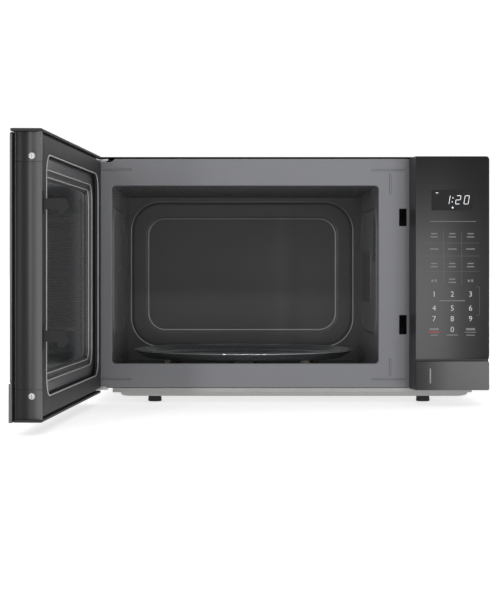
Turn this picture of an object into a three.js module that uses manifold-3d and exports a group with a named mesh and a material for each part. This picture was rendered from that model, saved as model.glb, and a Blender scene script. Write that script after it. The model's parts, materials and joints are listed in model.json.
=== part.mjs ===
// A countertop microwave oven, standing on its feet with its door swung open.
// Every piece is laid out in the oven's own coordinates: millimetres, x = 0 in the middle of the
// case, +Y to the back from the front of the face plate, +Z up from the surface under the feet.
// The door's pieces are laid out shut and then swung open about the hinge pins.
import * as THREE from 'three';
import { mergeVertices } from 'three/addons/utils/BufferGeometryUtils.js';
import Module from 'manifold-3d';

const wasm = await Module();
wasm.setup();

// ---- Driving dimensions ----
const GAP = 0.3;
const CASE = { half: 262.5, low: 14.5, top: 327.7, front: 1.5, back: 400, bend: 8, sheet: 1 };
const FACE = { half: 261.2, low: 21.6, high: 325.1, sheet: 1.2, lip: 5.5 };
const CAVITY = { left: -232.95, right: 121.35, low: 53.5, high: 289.5, floor: 38.2, back: 360, corner: 4 };
const WALL = 1;
const LATCH_SLOTS = { x0: 148.55, x1: 158.75, heights: [[92, 117.9], [235.7, 259.1]] };
const HINGE = { x: -256, y: -11, openDegrees: 94, pin: 3, arm: 6, sheet: 2.2, upper: 322.6, lower: 18.2 };
const DOOR = { x0: -262.5, x1: 160, z0: 15, z1: 328, front: -36, frameFront: -33.4, inner: -2 };
const PANEL = { x0: 166.55, x1: 262.5, rootX: 161.95, z0: 20.5, z1: 326.1, front: -36.5, split: 61.1 };
const BUTTON = { z1: 58.4, depth: 3, rodX: 170.5, rodZ: 50 };
const TABLE = { x: -55.8, y: 180, tray: 157.5, trayUnder: 52.8, trayTop: 65 };
const ROLLER = { count: 3, first: 77.5, orbit: 115, radius: 7, width: 8, bore: 2, axle: 1.6, z: 45.5 };
const FAN = { x: 212, y: 352, z: 168, blade: 40, blades: 5 };
const FOOT = { x: [-177.7, 185.6], y: [46, 350], radius: 9.25, height: 9.6 };
// The origin stands under the middle of the box that the open oven fills.
const ORIGIN = { x: 24.4, y: 13.7 };

// ---- Shaping ----
// The closed solid of a geometry, with its shared corners merged and collapsed faces dropped.
function solidOf(geometry) {
  const bare = geometry.clone();
  bare.deleteAttribute('normal');
  bare.deleteAttribute('uv');
  const merged = mergeVertices(bare, 1e-4);
  const index = merged.index.array;
  const faces = [];
  for (let i = 0; i < index.length; i += 3) {
    const [a, b, c] = [index[i], index[i + 1], index[i + 2]];
    if (a !== b && b !== c && c !== a) faces.push(a, b, c);
  }
  return new wasm.Manifold(new wasm.Mesh({
    numProp: 3,
    vertProperties: new Float32Array(merged.attributes.position.array),
    triVerts: new Uint32Array(faces),
  }));
}

function join(first, ...others) {
  return others.reduce((whole, piece) => whole.add(piece), first);
}

function cut(first, ...tools) {
  return tools.reduce((whole, tool) => whole.subtract(tool), first);
}

// A block between two values on each axis.
function block(x0, x1, y0, y1, z0, z1) {
  const geometry = new THREE.BoxGeometry(x1 - x0, y1 - y0, z1 - z0);
  geometry.translate((x0 + x1) / 2, (y0 + y1) / 2, (z0 + z1) / 2);
  return solidOf(geometry);
}

// How an outline's own x, y and depth lie in space when it is drawn out along an axis.
const LAY = {
  x: new THREE.Matrix4().makeBasis(
    new THREE.Vector3(0, 1, 0), new THREE.Vector3(0, 0, 1), new THREE.Vector3(1, 0, 0)),
  y: new THREE.Matrix4().makeBasis(
    new THREE.Vector3(1, 0, 0), new THREE.Vector3(0, 0, 1), new THREE.Vector3(0, -1, 0)),
  z: new THREE.Matrix4(),
};

// An outline drawn out along an axis: in Y-Z along x, in X-Z along y, in X-Y along z.
function drawOut(shape, axis, from, to, curveSegments = 4) {
  const geometry = new THREE.ExtrudeGeometry(shape, { depth: to - from, bevelEnabled: false, curveSegments });
  geometry.translate(0, 0, axis === 'y' ? -to : from);
  geometry.applyMatrix4(LAY[axis]);
  return solidOf(geometry);
}

function outline(points) {
  return new THREE.Shape(points.map(([x, y]) => new THREE.Vector2(x, y)));
}

function roundedOutline(x0, x1, y0, y1, radius) {
  const shape = new THREE.Shape();
  shape.absarc(x1 - radius, y1 - radius, radius, 0, Math.PI / 2);
  shape.absarc(x0 + radius, y1 - radius, radius, Math.PI / 2, Math.PI);
  shape.absarc(x0 + radius, y0 + radius, radius, Math.PI, 1.5 * Math.PI);
  shape.absarc(x1 - radius, y0 + radius, radius, 1.5 * Math.PI, 2 * Math.PI);
  return shape;
}

// A round bar along an axis, centred on the two other coordinates in X, Y, Z order.
function rod(axis, radius, from, to, [u, v], sides = 16) {
  const geometry = new THREE.CylinderGeometry(radius, radius, to - from, sides);
  const middle = (from + to) / 2;
  if (axis === 'x') geometry.rotateZ(Math.PI / 2).translate(middle, u, v);
  if (axis === 'y') geometry.translate(u, middle, v);
  if (axis === 'z') geometry.rotateX(Math.PI / 2).translate(u, v, middle);
  return solidOf(geometry);
}

// A profile of [radius, height] points turned about an upright axis at x, y.
function turned(profile, [x, y], sides = 24) {
  const points = profile.map(([radius, height]) => new THREE.Vector2(radius, height));
  const geometry = new THREE.LatheGeometry(points, sides);
  geometry.rotateX(Math.PI / 2).translate(x, y, 0);
  return solidOf(geometry);
}

// A coil spring of round wire about the local Z axis, from z = 0 to its length.
function coil(radius, wire, length, turns) {
  class Helix extends THREE.Curve {
    getPoint(t) {
      const turn = 2 * Math.PI * turns * t;
      return new THREE.Vector3(radius * Math.cos(turn), radius * Math.sin(turn), wire + (length - 2 * wire) * t);
    }
  }
  const section = new THREE.Shape();
  section.absarc(0, 0, wire, 0, 2 * Math.PI);
  return new THREE.ExtrudeGeometry(section, {
    extrudePath: new Helix(), steps: turns * 9, bevelEnabled: false, curveSegments: 5,
  });
}

const FINISH = {
  blackPaint: [0x1c1c1e, 0.45, 0.3],
  greyPaint: [0x7d7e82, 0.5, 0.2],
  cavityPaint: [0x3c3d3f, 0.5, 0.2],
  galvanised: [0xa2a3a2, 0.45, 0.85],
  zinc: [0xc4c6c8, 0.35, 0.9],
  darkSteel: [0x4a4a4b, 0.38, 0.8],
  blackPlastic: [0x2b2b2c, 0.5, 0],
  palePlastic: [0xd8d4c8, 0.55, 0],
  tanPlastic: [0x8a7258, 0.5, 0],
  mica: [0x6d655c, 0.6, 0],
  clearGlass: [0xcfdad8, 0.08, 0],
  darkGlass: [0x141517, 0.08, 0],
  board: [0x2f5a3c, 0.6, 0],
  aluminium: [0xb9bcbf, 0.4, 0.9],
  copper: [0x9a5a34, 0.4, 0.7],
  rubber: [0x18181a, 0.8, 0],
};

function piece(name, solid, finish) {
  const { vertProperties, triVerts } = solid.getMesh();
  const geometry = new THREE.BufferGeometry();
  geometry.setAttribute('position', new THREE.BufferAttribute(vertProperties, 3));
  geometry.setIndex(new THREE.BufferAttribute(triVerts, 1));
  geometry.computeVertexNormals();
  const [color, roughness, metalness] = FINISH[finish];
  const mesh = new THREE.Mesh(geometry, new THREE.MeshStandardMaterial({ color, roughness, metalness }));
  mesh.name = name;
  return mesh;
}

// ---- Case ----
// Folded sheet over the top and both sides, with a flange across the back and louvres.
function outerCover() {
  const { half, low, top, front, back, bend, sheet } = CASE;
  const wrap = (thick, y0, y1) => {
    const inner = Math.max(bend - thick, 1);
    const [sideX, ceiling] = [half - thick - inner, top - thick - inner];
    const shape = new THREE.Shape();
    shape.moveTo(half, low);
    shape.lineTo(half, top - bend);
    shape.absarc(half - bend, top - bend, bend, 0, Math.PI / 2);
    shape.absarc(bend - half, top - bend, bend, Math.PI / 2, Math.PI);
    shape.lineTo(-half, low);
    shape.lineTo(thick - half, low);
    shape.absarc(-sideX, ceiling, inner, Math.PI, Math.PI / 2, true);
    shape.absarc(sideX, ceiling, inner, Math.PI / 2, 0, true);
    shape.lineTo(half - thick, low);
    return drawOut(shape, 'y', y0, y1);
  };
  const flange = 12;
  const louvres = [];
  for (let row = 0; row < 8; row++) {
    const z = 90 + row * 20;
    louvres.push(block(half - 3, half + 1, 280, 350, z, z + 4));
    louvres.push(block(-half - 1, 3 - half, 300, 370, z, z + 4));
  }
  return cut(join(wrap(sheet, front, back), wrap(flange, back - sheet, back)), ...louvres);
}

// Shallow tray: a flat flange under the case, a pressed trough below it and a folded front edge.
function basePlate() {
  const flangeLow = 20.2;
  const flangeHigh = 21.2;
  const bottom = FOOT.height + GAP;
  const trough = (inset, high) => outline([
    [-224 + inset, high], [-219.3 + inset, bottom + inset], [237 - inset, bottom + inset], [245.4 - inset, high],
  ]);
  const tray = drawOut(trough(0, flangeHigh), 'y', 3, 388);
  const hollow = drawOut(trough(1.2, flangeHigh + 1), 'y', 4.2, 386.8);
  const flange = block(-FACE.half, FACE.half, 1.5, 397, flangeLow, flangeHigh);
  const frontEdge = block(-232, 245.4, 1.5, 2.7, 15.5, flangeHigh);
  const bracketNotch = block(-CASE.half, -233, 0, 6, 15, 22);
  return cut(join(flange, tray, frontEdge), hollow, bracketNotch);
}

function rearPanel() {
  const vents = [];
  for (let column = 0; column < 9; column++) {
    const x = 170 + column * 9;
    vents.push(block(x, x + 4, 390, 402, 120, 160), block(x, x + 4, 390, 402, 172, 212));
  }
  for (let column = 0; column < 6; column++) {
    const x = -200 + column * 12;
    vents.push(block(x, x + 4, 390, 402, 240, 290));
  }
  const edge = roundedOutline(-FACE.half, FACE.half, FACE.low, 326.3, CASE.bend);
  const plate = drawOut(edge, 'y', 397.6, 398.6);
  return cut(plate, rod('y', 8.2, 390, 402, [225, 60]), ...vents);
}

// Pressed front of the case: the oven opening with its turned-in lip, the two latch slots,
// openings behind the control housing and a notch for each hinge bracket.
function facePlate() {
  const { half, low, high, sheet, lip } = FACE;
  const { left, right, corner } = CAVITY;
  const opening = (grow) => roundedOutline(
    left - grow, right + grow, CAVITY.low - grow, CAVITY.high + grow, corner + grow);
  const plate = block(-half, half, 0, sheet, low, high);
  const lipRing = drawOut(opening(sheet), 'y', 0, lip);
  const slots = LATCH_SLOTS.heights.map(([z0, z1]) => block(LATCH_SLOTS.x0, LATCH_SLOTS.x1, -1, 3, z0, z1));
  return cut(
    join(plate, lipRing),
    drawOut(opening(0), 'y', -1, lip + 1),
    block(176, 255, -1, 3, 75, 300),
    block(168, 178, -1, 3, 42, 57),
    block(-half - 1, -233, -1, 3, 321, high + 1),
    block(-250, -238, -1, 3, low - 1, 22.6),
    ...slots,
  );
}

function foot(x, y) {
  const { radius, height } = FOOT;
  return turned([[0, 0], [radius - 1, 0], [radius, 1], [radius, height], [0, height]], [x, y], 20);
}

// ---- Cavity ----
function cavityWalls() {
  const { left, right, floor, back, high } = CAVITY;
  const start = 6;
  const vents = [];
  for (let row = 0; row < 6; row++) vents.push(block(right - 1, right + 3, 24, 76, 192 + row * 10, 195 + row * 10));
  const guideHole = block(right - 1, right + 3, 120, 230, 138, 197);
  const hubHole = rod('z', 9, 30, 40, [TABLE.x, TABLE.y], 20);
  return [
    ['cavity_floor', cut(block(left, right, 1.5, back, floor - WALL, floor), hubHole)],
    ['cavity_ceiling', block(left, right, start, back, high, high + WALL)],
    ['cavity_left_wall', block(left - WALL - GAP, left - GAP, start, back, floor - WALL, high + WALL)],
    ['cavity_right_wall', cut(
      block(right + GAP, right + WALL + GAP, start, back, floor - WALL, high + WALL), guideHole, ...vents)],
    ['cavity_back_wall', block(left - 4, right + 4, back + GAP, back + GAP + WALL, floor - WALL, high + WALL)],
  ];
}

// ---- Microwave supply ----
// Open-sided duct between the magnetron and the window in the right wall.
function waveguide() {
  const [x0, x1] = [123.1, 160];
  const shell = block(x0, x1, 105, 300, 128, 208);
  const inside = block(x0 - 1, x1 - 1, 106, 299, 129, 207);
  return cut(shell, inside, rod('x', 12, x1 - 3, x1 + 2, [262, 168]));
}

// Sealed tube in a steel yoke with cooling fins, its antenna reaching into the waveguide.
function magnetron() {
  const [y, z] = [262, 168];
  const yoke = cut(block(162, 240, 215, 310, 120, 216), block(164, 238, 214, 311, 122, 214));
  const flange = block(160.3, 162.5, 212, 313, 116, 220);
  const fins = [];
  for (let i = 0; i < 6; i++) fins.push(block(176 + i * 9, 176.8 + i * 9, 222, 302, 121, 215));
  const core = rod('x', 20, 161, 239, [y, z]);
  const antenna = rod('x', 8, 144, 161, [y, z]);
  const filterBox = block(239, 257, 228, 298, 134, 190);
  return join(yoke, flange, core, antenna, filterBox, ...fins);
}

function inverterHeatsink() {
  const comb = [];
  const [x0, finCount, pitch] = [132, 6, 6];
  for (let i = 0; i < finCount; i++) comb.push(block(x0 + i * pitch, x0 + 2 + i * pitch, 80, 180, 40, 76));
  return join(block(x0, x0 + finCount * pitch, 80, 180, 36, 40.5), ...comb);
}

function inverterTransformer() {
  const core = cut(block(196, 244, 90, 150, 36, 84), block(204, 236, 89, 151, 46, 74));
  return join(core, rod('y', 15.5, 94, 146, [220, 60], 20), block(217, 223, 94, 146, 44, 76));
}

// ---- Cooling fan ----
function fanShroud() {
  const { x, y, z, blade } = FAN;
  const bore = rod('y', blade + 3, y - 20, y + 20, [x, z], 28);
  const plate = block(x - 46, x + 46, y - 12, y - 10, z - 50, z + 50);
  const ring = rod('y', blade + 5, y - 12, y + 8, [x, z], 28);
  return cut(join(plate, ring), bore);
}

function fanBlade() {
  const { x, y, z, blade, blades } = FAN;
  const vanes = [];
  for (let i = 0; i < blades; i++) {
    const vane = new THREE.BoxGeometry(blade - 8, 1.4, 20);
    vane.rotateX(THREE.MathUtils.degToRad(38)).translate((blade + 8) / 2, 0, 0);
    vane.rotateY((2 * Math.PI * i) / blades).translate(x, y, z);
    vanes.push(solidOf(vane));
  }
  return join(rod('y', 10, y - 7, y + 7, [x, z]), ...vanes);
}

// ---- Lamp ----
function lampBulb() {
  const bulb = new THREE.LatheGeometry(
    [[0, 0], [4, 0], [4, 4], [7.5, 9], [7.5, 13], [4.5, 17], [0, 18]].map(([r, h]) => new THREE.Vector2(r, h)), 16);
  bulb.rotateZ(Math.PI / 2).translate(142.7, 64, 220);
  return solidOf(bulb);
}

// ---- Door latch in the case ----
// Moulded block behind the face plate with a pocket for each hook and room for the lever.
function latchBody() {
  const [x0, x1] = [143, 164];
  const [inX0, inX1] = [148, 159.3];
  return cut(
    block(x0, x1, 1.6, 38, 60, 268),
    block(inX0, inX1, 1, 32, 88, 122),
    block(inX0, inX1, 1, 32, 232, 262),
    block(inX0, inX1, 5, 32, 62, 93),
    block(150, x1 + 1, 6, 34, 132, 222),
    rod('x', 2.9, x0 - 1, x1 + 1, [LEVER.y, LEVER.z]),
    block(inX1 - 1, x1 + 1, 18, 26, 100, 108),
    block(inX1 - 1, x1 + 1, 18, 26, 112, 118),
    block(inX1 - 1, x1 + 1, 18, 26, 243, 250),
  );
}

const LEVER = { y: 13, z: 72, outerX0: 171, outerX1: 176 };

// Bell crank on a cross pin: the outer arm is pushed back, the inner arm lifts the lower hook.
function releaseLever() {
  const { y, z, outerX0, outerX1 } = LEVER;
  const [inX0, inX1] = [150, 157];
  const innerArm = outline([[y, z - 4], [29, 88], [29, 94.3], [23, 94.3], [y - 3, z + 4]]);
  const outerArm = outline([[10, 47], [14, 47], [y + 5, z], [y + 3, z + 4], [y - 3, z + 4], [y - 5, z]]);
  return join(
    rod('x', 5, inX0, inX1, [y, z]),
    rod('x', 2.5, 145, outerX1, [y, z]),
    drawOut(innerArm, 'x', inX0 + 1, inX1 - 1),
    drawOut(outerArm, 'x', outerX0, outerX1),
  );
}

// Snap-action switch: moulded body, plunger towards the hook and two blade terminals.
function microswitch(y0, z0) {
  const body = block(164.4, 170.6, y0, y0 + 20, z0, z0 + 10);
  const plunger = block(162.5, 164.6, y0 + 8, y0 + 11, z0 + 3, z0 + 6);
  const terminals = [3, 14].map((dy) => block(170.5, 176, y0 + dy, y0 + dy + 3, z0 + 4, z0 + 5));
  return join(body, plunger, ...terminals);
}

// ---- Control side ----
// Tapered shell that carries the fascia above and the door button below.
function controlHousing() {
  const { x0, x1, rootX, z0, z1, split } = PANEL;
  const wall = 2;
  const [front, rear] = [-34.4, -GAP];
  const plan = (inset) => outline([
    [x0 + inset, front - inset], [rootX + inset, rear + inset], [x1 - inset, rear + inset], [x1 - inset, front - inset],
  ]);
  return cut(
    drawOut(plan(0), 'z', z0, z1),
    drawOut(plan(wall), 'z', split, z1 - wall),
    drawOut(plan(wall), 'z', z0 + wall, split - wall),
    block(x0 - 1, x1 + 1, front - 1, front + 6, z0 - 1, split - wall - GAP),
  );
}

function controlFascia() {
  const { x0, x1, z1, split, front } = PANEL;
  const plate = block(x0, x1, front, -34.7, split, z1);
  return cut(plate, block(187, 240, front - 1, -30, 255.4, 282));
}

function controlBoard() {
  return join(
    block(172, 256, -27, -25.4, 75, 315),
    block(188, 239, -33, -26.5, 256.4, 281),
    rod('y', 9, -25.6, -17, [232, 100]),
    block(178, 196, -25.6, -12, 84, 112),
  );
}

// Wide front plate with guide ribs and a push rod through the face plate.
function openButton() {
  const { x0, x1, z0, front } = PANEL;
  const { z1, depth, rodX, rodZ } = BUTTON;
  const back = front + depth;
  return join(
    block(x0, x1, front, back, z0, z1),
    block(190, 192, back - 0.5, -16, 26, 54),
    block(246, 248, back - 0.5, -16, 26, 54),
    block(rodX, rodX + 5, back - 0.5, 9, rodZ - 3, rodZ + 3),
    rod('y', 3, back - 0.5, -22, [218, 40]),
  );
}

// ---- Turntable ----
function driveHub() {
  const { x, y } = TABLE;
  const arms = [];
  for (let i = 0; i < 3; i++) {
    const arm = new THREE.BoxGeometry(18, 7, 7);
    arm.translate(10, 0, 49).rotateZ((2 * Math.PI * i) / 3).translate(x, y, 0);
    arms.push(solidOf(arm));
  }
  return join(rod('z', 3.5, 26, 39, [x, y]), rod('z', 13, 38.6, 46, [x, y], 20), ...arms);
}

function glassTray() {
  const { x, y, tray, trayUnder, trayTop } = TABLE;
  const well = trayUnder + 4;
  const dish = turned([
    [0, trayUnder], [139, trayUnder], [tray, trayTop - 3], [tray, trayTop],
    [tray - 3.5, trayTop], [138, well], [0, well],
  ], [x, y], 48);
  const lugs = [];
  for (let i = 0; i < 3; i++) {
    const lug = new THREE.BoxGeometry(8, 8, 4);
    lug.translate(16, 0, trayUnder - 1.5).rotateZ((2 * Math.PI * (i + 0.5)) / 3).translate(x, y, 0);
    lugs.push(solidOf(lug));
  }
  return join(dish, ...lugs);
}

function rollerAngle(i) {
  return THREE.MathUtils.degToRad(ROLLER.first + (360 * i) / ROLLER.count);
}

// Places a solid made along +X from the turntable's axis at one roller's angle.
function aroundTable(geometry, i) {
  return solidOf(geometry.rotateZ(rollerAngle(i)).translate(TABLE.x, TABLE.y, 0));
}

function rollerRing() {
  const { count, axle, orbit, width, z } = ROLLER;
  const ring = turned([[100, z - 2], [109, z - 2], [109, z + 2], [100, z + 2], [100, z - 2]], [TABLE.x, TABLE.y], 48);
  const axles = [];
  for (let i = 0; i < count; i++) {
    const length = orbit + width / 2 + 1.5 - 105;
    const pin = new THREE.CylinderGeometry(axle, axle, length, 10);
    axles.push(aroundTable(pin.rotateZ(Math.PI / 2).translate(105 + length / 2, 0, z), i));
  }
  return join(ring, ...axles);
}

function roller(i) {
  const { radius, width, bore, orbit, z } = ROLLER;
  const half = width / 2;
  const profile = [
    [bore, -half], [radius - 1, -half], [radius, 1 - half], [radius, half - 1], [radius - 1, half], [bore, half],
    [bore, -half],
  ];
  const wheel = new THREE.LatheGeometry(profile.map(([r, h]) => new THREE.Vector2(r, h)), 20);
  return aroundTable(wheel.rotateZ(-Math.PI / 2).translate(orbit, 0, z), i);
}

// ---- Hinges ----
// Steel bracket: an upright leg behind the face plate and a flat arm that carries the door's pin.
function hingeBracket(low, legEnd, pinEnd) {
  const { x, y, pin, arm, sheet } = HINGE;
  const high = low + sheet;
  const reach = new THREE.Shape();
  reach.absarc(x, y, arm, Math.PI, 2 * Math.PI);
  const rootX = -256;
  const root = [[x + arm, -1], [-238, -1], [-238, 3.4], [rootX, 3.4], [rootX, -1], [x - arm, y]];
  root.forEach(([px, py]) => reach.lineTo(px, py));
  return join(
    drawOut(reach, 'z', low, high, 5),
    block(-258, -240, 1.6, 3.4, Math.min(legEnd, low + 1), Math.max(legEnd, high - 1)),
    rod('z', pin, Math.min(pinEnd, low + 1), Math.max(pinEnd, high - 1), [x, y]),
  );
}

// ---- Door, laid out shut ----
// Moulded carcass around the door, with the hinge pockets, pin holes, latch channel and grip recess.
function doorFrame() {
  const { x0, x1, z0, z1, frameFront } = DOOR;
  const rear = -6.6;
  const rearCorner = outline([
    [x0, frameFront], [x1, frameFront], [x1, rear], [x0 + 1, rear], [x0, rear - 1],
  ]);
  return cut(
    drawOut(rearCorner, 'z', z0, z1),
    drawOut(roundedOutline(-243, 136, 36, 307, 12), 'y', frameFront - 1, rear + 1),
    block(154.9, x1 + 1, -31, -3, 49.6, 292.6),
    block(149.8, 155.1, -27, rear + 1, 78, 276),
    block(x0 - 1, -248.4, -18.6, rear + 1, 321.9, 325.5),
    block(x0 - 1, -248.4, -18.6, rear + 1, 17.5, 21.1),
    rod('z', HINGE.pin + 0.4, 306, 322.2, [HINGE.x, HINGE.y]),
    rod('z', HINGE.pin + 0.4, 20.8, 37, [HINGE.x, HINGE.y]),
    ...[42.9, 298.9].flatMap((z) => [
      rod('x', 2.1, 146, x1 + 1, [-13.4, z], 12), rod('x', 4.6, 158.2, x1 + 1, [-13.4, z]),
    ]),
  ).add(block(149.5, 153.8, -21, -14, 158, 162));
}

const DOOR_GLASS = { x0: -205, x1: 107, z0: 88, z1: 262 };

function doorOuterPanel() {
  const { x0, front } = DOOR;
  const { x0: glassX0, x1: glassX1, z0: glassZ0, z1: glassZ1 } = DOOR_GLASS;
  return cut(block(x0, 164.5, front, -33.7, 56.6, 324), block(glassX0, glassX1, front - 1, -30, glassZ0, glassZ1));
}

// Inner steel panel: a flat land around a dished middle, which holds the see-through screen.
function doorMetalPanel() {
  const dish = (grow) => roundedOutline(-220 - grow, 117 + grow, 59 - grow, 284 + grow, 20 + grow);
  const land = drawOut(roundedOutline(-242.6, 135.6, 36.4, 306.6, 11), 'y', -9, -8);
  const pan = drawOut(dish(1), 'y', -16, -8);
  return cut(join(land, pan), drawOut(dish(0), 'y', -15, -7));
}

// Inner border of the door, flat against the face plate when shut, slotted for the hooks.
function chokeCover() {
  const { inner } = DOOR;
  const back = -6.3;
  const border = outline([[-260, back], [158, back], [158, inner], [-258.5, inner], [-260, inner - 1.5]]);
  return cut(
    drawOut(border, 'z', 18, 325),
    drawOut(roundedOutline(-235.5, 133.5, 40.5, 302.5, 22), 'y', back - 1, inner + 1, 6),
    block(-261, -248.4, -18, inner + 1, 321.9, 326),
    block(-261, -248.4, -18, inner + 1, 17, 21.1),
    block(150, 156, back - 1, inner + 1, 92, 120),
    block(150, 156, back - 1, inner + 1, 236, 262),
  );
}

// Grip strip along the free end: a hollow curve across the door's thickness.
function doorEndCap() {
  const [yFront, yRear, x] = [-30.7, -6.7, DOOR.x1];
  const strip = new THREE.Shape();
  strip.moveTo(155.3, yFront);
  strip.lineTo(x, yFront);
  strip.quadraticCurveTo(x - 6.4, (yFront + yRear) / 2, x, yRear);
  strip.lineTo(155.3, yRear);
  return drawOut(strip, 'z', 49.9, 292.3, 8);
}

function doorScrew(z) {
  return join(
    rod('x', 4, 158.6, 160.4, [-13.4, z]),
    rod('x', 1.8, 147, 159, [-13.4, z], 12),
  );
}

const SLIDER = { x0: 151.5, x1: 154.6, y0: -24, y1: -10, z0: 84, z1: 268 };

// Upright slider with two hooks, each with its nose turned down to catch the latch body.
function latchSlider() {
  const { x0, x1, y0, y1, z0, z1 } = SLIDER;
  const tall = 11.5;
  const hook = (z) => drawOut(outline([
    [y1 - 1, z], [14, z], [14, z - 6], [20, z - 6], [26, z + 2], [22, z + tall], [y1 - 1, z + tall],
  ]), 'x', x0, x1);
  return cut(
    join(block(x0, x1, y0, y1, z0, z1), hook(101), hook(242)),
    block(x0 - 1, x1 + 1, y0 + 2, y1 - 2, 150, 190),
  );
}

function latchSpring() {
  return solidOf(coil(1.3, 0.35, 27, 7).translate(152.2, -17, 162.4));
}

function buttonSpring() {
  return solidOf(coil(4.4, 0.6, 32.4, 5).rotateX(-Math.PI / 2).translate(218, -33, 40));
}

// ---- Assembly ----
const oven = new THREE.Group();
const add = (group, name, solid, finish) => group.add(piece(name, solid, finish));

add(oven, 'outer_cover', outerCover(), 'blackPaint');
add(oven, 'base_plate', basePlate(), 'galvanised');
add(oven, 'rear_panel', rearPanel(), 'galvanised');
add(oven, 'face_plate', facePlate(), 'greyPaint');
for (const [name, solid] of cavityWalls()) add(oven, name, solid, 'cavityPaint');
add(oven, 'waveguide_cover', block(120.5, 121.05, 113, 237, 131.6, 203.5), 'mica');
add(oven, 'waveguide', waveguide(), 'galvanised');
add(oven, 'magnetron', magnetron(), 'aluminium');
add(oven, 'thermal_cutout', rod('z', 8, 216.3, 222, [200, 262]), 'blackPlastic');
add(oven, 'inverter_board', block(128, 256, 60, 200, 34, 35.7), 'board');
add(oven, 'inverter_heatsink', inverterHeatsink(), 'aluminium');
add(oven, 'inverter_transformer', inverterTransformer(), 'copper');
add(oven, 'fan_shroud', fanShroud(), 'blackPlastic');
add(oven, 'fan_motor', join(
  block(FAN.x - 20, FAN.x + 20, 370, 392, FAN.z - 25, FAN.z + 25), rod('y', 8, 364, 371, [FAN.x, FAN.z]),
), 'zinc');
add(oven, 'fan_blade', fanBlade(), 'blackPlastic');
add(oven, 'lamp_holder', block(143, 160, 50, 78, 209, 231), 'palePlastic');
add(oven, 'lamp_bulb', lampBulb(), 'clearGlass');
add(oven, 'turntable_motor', cut(
  rod('z', 24, 14, 36.8, [TABLE.x, TABLE.y], 24), rod('z', 4, 24, 38, [TABLE.x, TABLE.y]),
), 'zinc');
add(oven, 'latch_body', latchBody(), 'blackPlastic');
add(oven, 'release_lever', releaseLever(), 'blackPlastic');
add(oven, 'primary_switch', microswitch(12, 241), 'blackPlastic');
add(oven, 'secondary_switch', microswitch(12, 98), 'blackPlastic');
add(oven, 'monitor_switch', microswitch(12, 110), 'blackPlastic');
add(oven, 'control_housing', controlHousing(), 'blackPlastic');
add(oven, 'control_fascia', controlFascia(), 'darkSteel');
add(oven, 'display_window', block(187.3, 239.7, PANEL.front + 0.1, -34.7, 255.7, 281.7), 'darkGlass');
add(oven, 'control_board', controlBoard(), 'board');
add(oven, 'open_button', openButton(), 'darkSteel');
add(oven, 'button_spring', buttonSpring(), 'zinc');
add(oven, 'hinge_bracket_upper', hingeBracket(HINGE.upper, 270, 309), 'zinc');
add(oven, 'hinge_bracket_lower', hingeBracket(HINGE.lower, 75, 34), 'zinc');
add(oven, 'cord_gland', cut(join(
  rod('y', 11, 398.9, 401.4, [225, 60], 20), rod('y', 7.8, 390, 399.5, [225, 60], 20),
), rod('y', 4, 388, 403, [225, 60])), 'rubber');
add(oven, 'noise_filter_board', join(
  block(150, 215, 335, 392, 30, 31.6), rod('z', 12, 31, 46, [170, 362]), block(188, 204, 345, 375, 31, 44),
), 'board');
const footNames = ['foot_front_left', 'foot_front_right', 'foot_rear_left', 'foot_rear_right'];
footNames.forEach((name, i) => add(oven, name, foot(FOOT.x[i % 2], FOOT.y[i >> 1]), 'rubber'));
add(oven, 'drive_hub', driveHub(), 'palePlastic');
add(oven, 'glass_tray', glassTray(), 'clearGlass');
add(oven, 'roller_ring', rollerRing(), 'tanPlastic');
for (let i = 0; i < ROLLER.count; i++) add(oven, `roller_${i + 1}`, roller(i), 'palePlastic');

const door = new THREE.Group();
add(door, 'door_frame', doorFrame(), 'blackPlastic');
add(door, 'door_outer_panel', doorOuterPanel(), 'darkSteel');
add(door, 'door_glass', block(
  DOOR_GLASS.x0 + GAP, DOOR_GLASS.x1 - GAP, DOOR.front, -33.7, DOOR_GLASS.z0 + GAP, DOOR_GLASS.z1 - GAP,
), 'darkGlass');
add(door, 'door_band', block(DOOR.x0, 164.5, DOOR.front - 1, -33.7, DOOR.z0, 56.3), 'darkSteel');
add(door, 'door_metal_panel', doorMetalPanel(), 'cavityPaint');
add(door, 'door_inner_film', block(-212, 109, -14.6, -14.2, 66, 277), 'clearGlass');
add(door, 'choke_cover', chokeCover(), 'blackPlastic');
add(door, 'door_end_cap', doorEndCap(), 'blackPlastic');
add(door, 'door_screw_upper', doorScrew(298.9), 'zinc');
add(door, 'door_screw_lower', doorScrew(42.9), 'zinc');
add(door, 'latch_slider', latchSlider(), 'blackPlastic');
add(door, 'latch_spring', latchSpring(), 'zinc');

// The door's pieces are moved so that the pin line is the group's own axis, then swung open.
door.children.forEach((mesh) => mesh.position.set(-HINGE.x, -HINGE.y, 0));
door.position.set(HINGE.x, HINGE.y, 0);
door.rotation.z = -THREE.MathUtils.degToRad(HINGE.openDegrees);
oven.add(door);
oven.position.set(ORIGIN.x, ORIGIN.y, 0);
const whole = new THREE.Group();
whole.add(oven);
export default whole;
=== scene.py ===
import json
import math

import bmesh
import bpy
from mathutils import Matrix, Vector


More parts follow.
